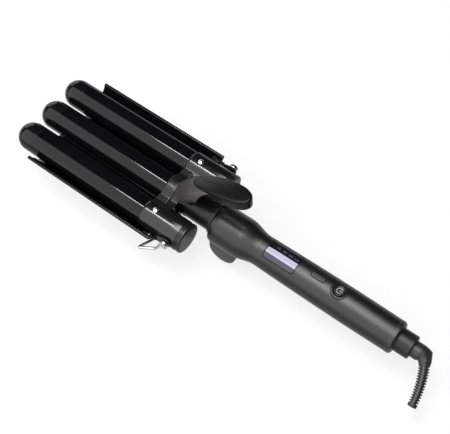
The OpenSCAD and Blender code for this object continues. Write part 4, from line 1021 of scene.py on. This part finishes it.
# ---- Strain relief ---------------------------------------------------------------------------
# A soft rubber elbow moulded on the cord's swivel: a plain shank, a sharp bend and an arm that
# tapers to the cord, cut with a row of slots on its inner and on its outer side.
rubber = gloss_black("rubber_black", (0.006, 0.006, 0.0065), 0.42, 0.00001)
COLLAR_REAR = 369.0
RELIEF_TURN = math.radians(198)
SHANK_RADIUS, SHANK_LONG = 6.7, 5.5
ELBOW_RADIUS, ELBOW_BEND, ELBOW_STEPS, ELBOW_THINNING = 7.4, 63.0, 21, 1.69
ARM_RADIUS, ARM_BEND = 90.0, 22.0
RELIEF_SIDES = 96
SLOTS = 14
SLOT_FIRST, SLOT_STEP, SLOT_LONG = 0.10, 0.0605, 0.033
SLOT_DEPTH, SPINE = 1.1, 0.985
ARM_FRONT, ARM_TAPER, CORD_BORE = 4.2, 0.7, 2.2


def relief_at(u, v, w):
    """A point of the relief: u along the handle, v toward the arm's bend and w across it."""
    c, s = math.cos(RELIEF_TURN), math.sin(RELIEF_TURN)
    return at(COLLAR_REAR + u, v * c - w * s, HANDLE_AXIS + v * s + w * c)


def arm_radius(t):
    """The arm's radius along its length, with a short flare where it leaves the elbow."""
    settled = ARM_FRONT - ARM_TAPER * t
    return settled + max(0.0, 0.95 * (1 - t / 0.12)) ** 2 * 0.9 if t < 0.12 else settled


def relief_ring(u, v, heading, radius, bulge=0.0, slotted=False):
    """A ring round the centre line; bulge pushes its outer side out, slots draw two sides in."""
    h = math.radians(heading)
    ring = []
    for k in range(RELIEF_SIDES):
        a = 2 * math.pi * (k + 0.5) / RELIEF_SIDES
        out = math.cos(a)
        spine = abs(math.sin(a)) > SPINE
        r = radius - (SLOT_DEPTH if slotted and not spine else 0.0)
        reach = r * out * (1 + bulge * max(0.0, -out) ** 1.5)
        ring.append(relief_at(u - math.sin(h) * reach, v + math.cos(h) * reach, r * math.sin(a)))
    return ring


rings = [relief_ring(u, 0, 0, SHANK_RADIUS) for u in (-1.2, 0.2, 2, 4, SHANK_LONG)]
for i in range(1, ELBOW_STEPS + 1):
    share = i / ELBOW_STEPS
    heading = ELBOW_BEND * share
    h = math.radians(heading)
    nearest = math.radians(min(heading, ELBOW_BEND - heading))
    bulge = (1 / math.cos(nearest) - 1) * 1.5
    radius = SHANK_RADIUS - ELBOW_THINNING * share * share * (3 - 2 * share)
    u, v = SHANK_LONG + ELBOW_RADIUS * math.sin(h), ELBOW_RADIUS * (1 - math.cos(h))
    rings.append(relief_ring(u, v, heading, radius, bulge))
start_u, start_v = u, v


def arm_ring(t, radius, slotted=False):
    h0, h = math.radians(ELBOW_BEND), math.radians(ELBOW_BEND + ARM_BEND * t)
    return relief_ring(start_u + ARM_RADIUS * (math.sin(h) - math.sin(h0)),
                       start_v + ARM_RADIUS * (math.cos(h0) - math.cos(h)),
                       math.degrees(h), radius, 0.0, slotted)


rings += [arm_ring(t, arm_radius(t)) for t in (0.02, 0.04, 0.06, 0.08)]
for i in range(SLOTS):
    first = SLOT_FIRST + SLOT_STEP * i
    last = first + SLOT_LONG
    rings += [arm_ring(first, arm_radius(first)), arm_ring(first + 0.001, arm_radius(first), True),
              arm_ring(last - 0.001, arm_radius(last), True), arm_ring(last, arm_radius(last))]
rings += [arm_ring(t, arm_radius(t)) for t in (0.95, 0.985)]
rings += [arm_ring(1.0 - 0.02 * (1 - s), arm_radius(1) - 0.35 * s * s) for s in (0.5, 0.8, 1.0)]
rings.append(arm_ring(1.0, CORD_BORE + 0.1))
rings += [arm_ring(t, CORD_BORE) for t in (0.996, 0.87, 0.74)]
piece_from("cord_relief", *loft(rings), "strain_relief", "rubber", rubber, ("strain_relief",), 35)
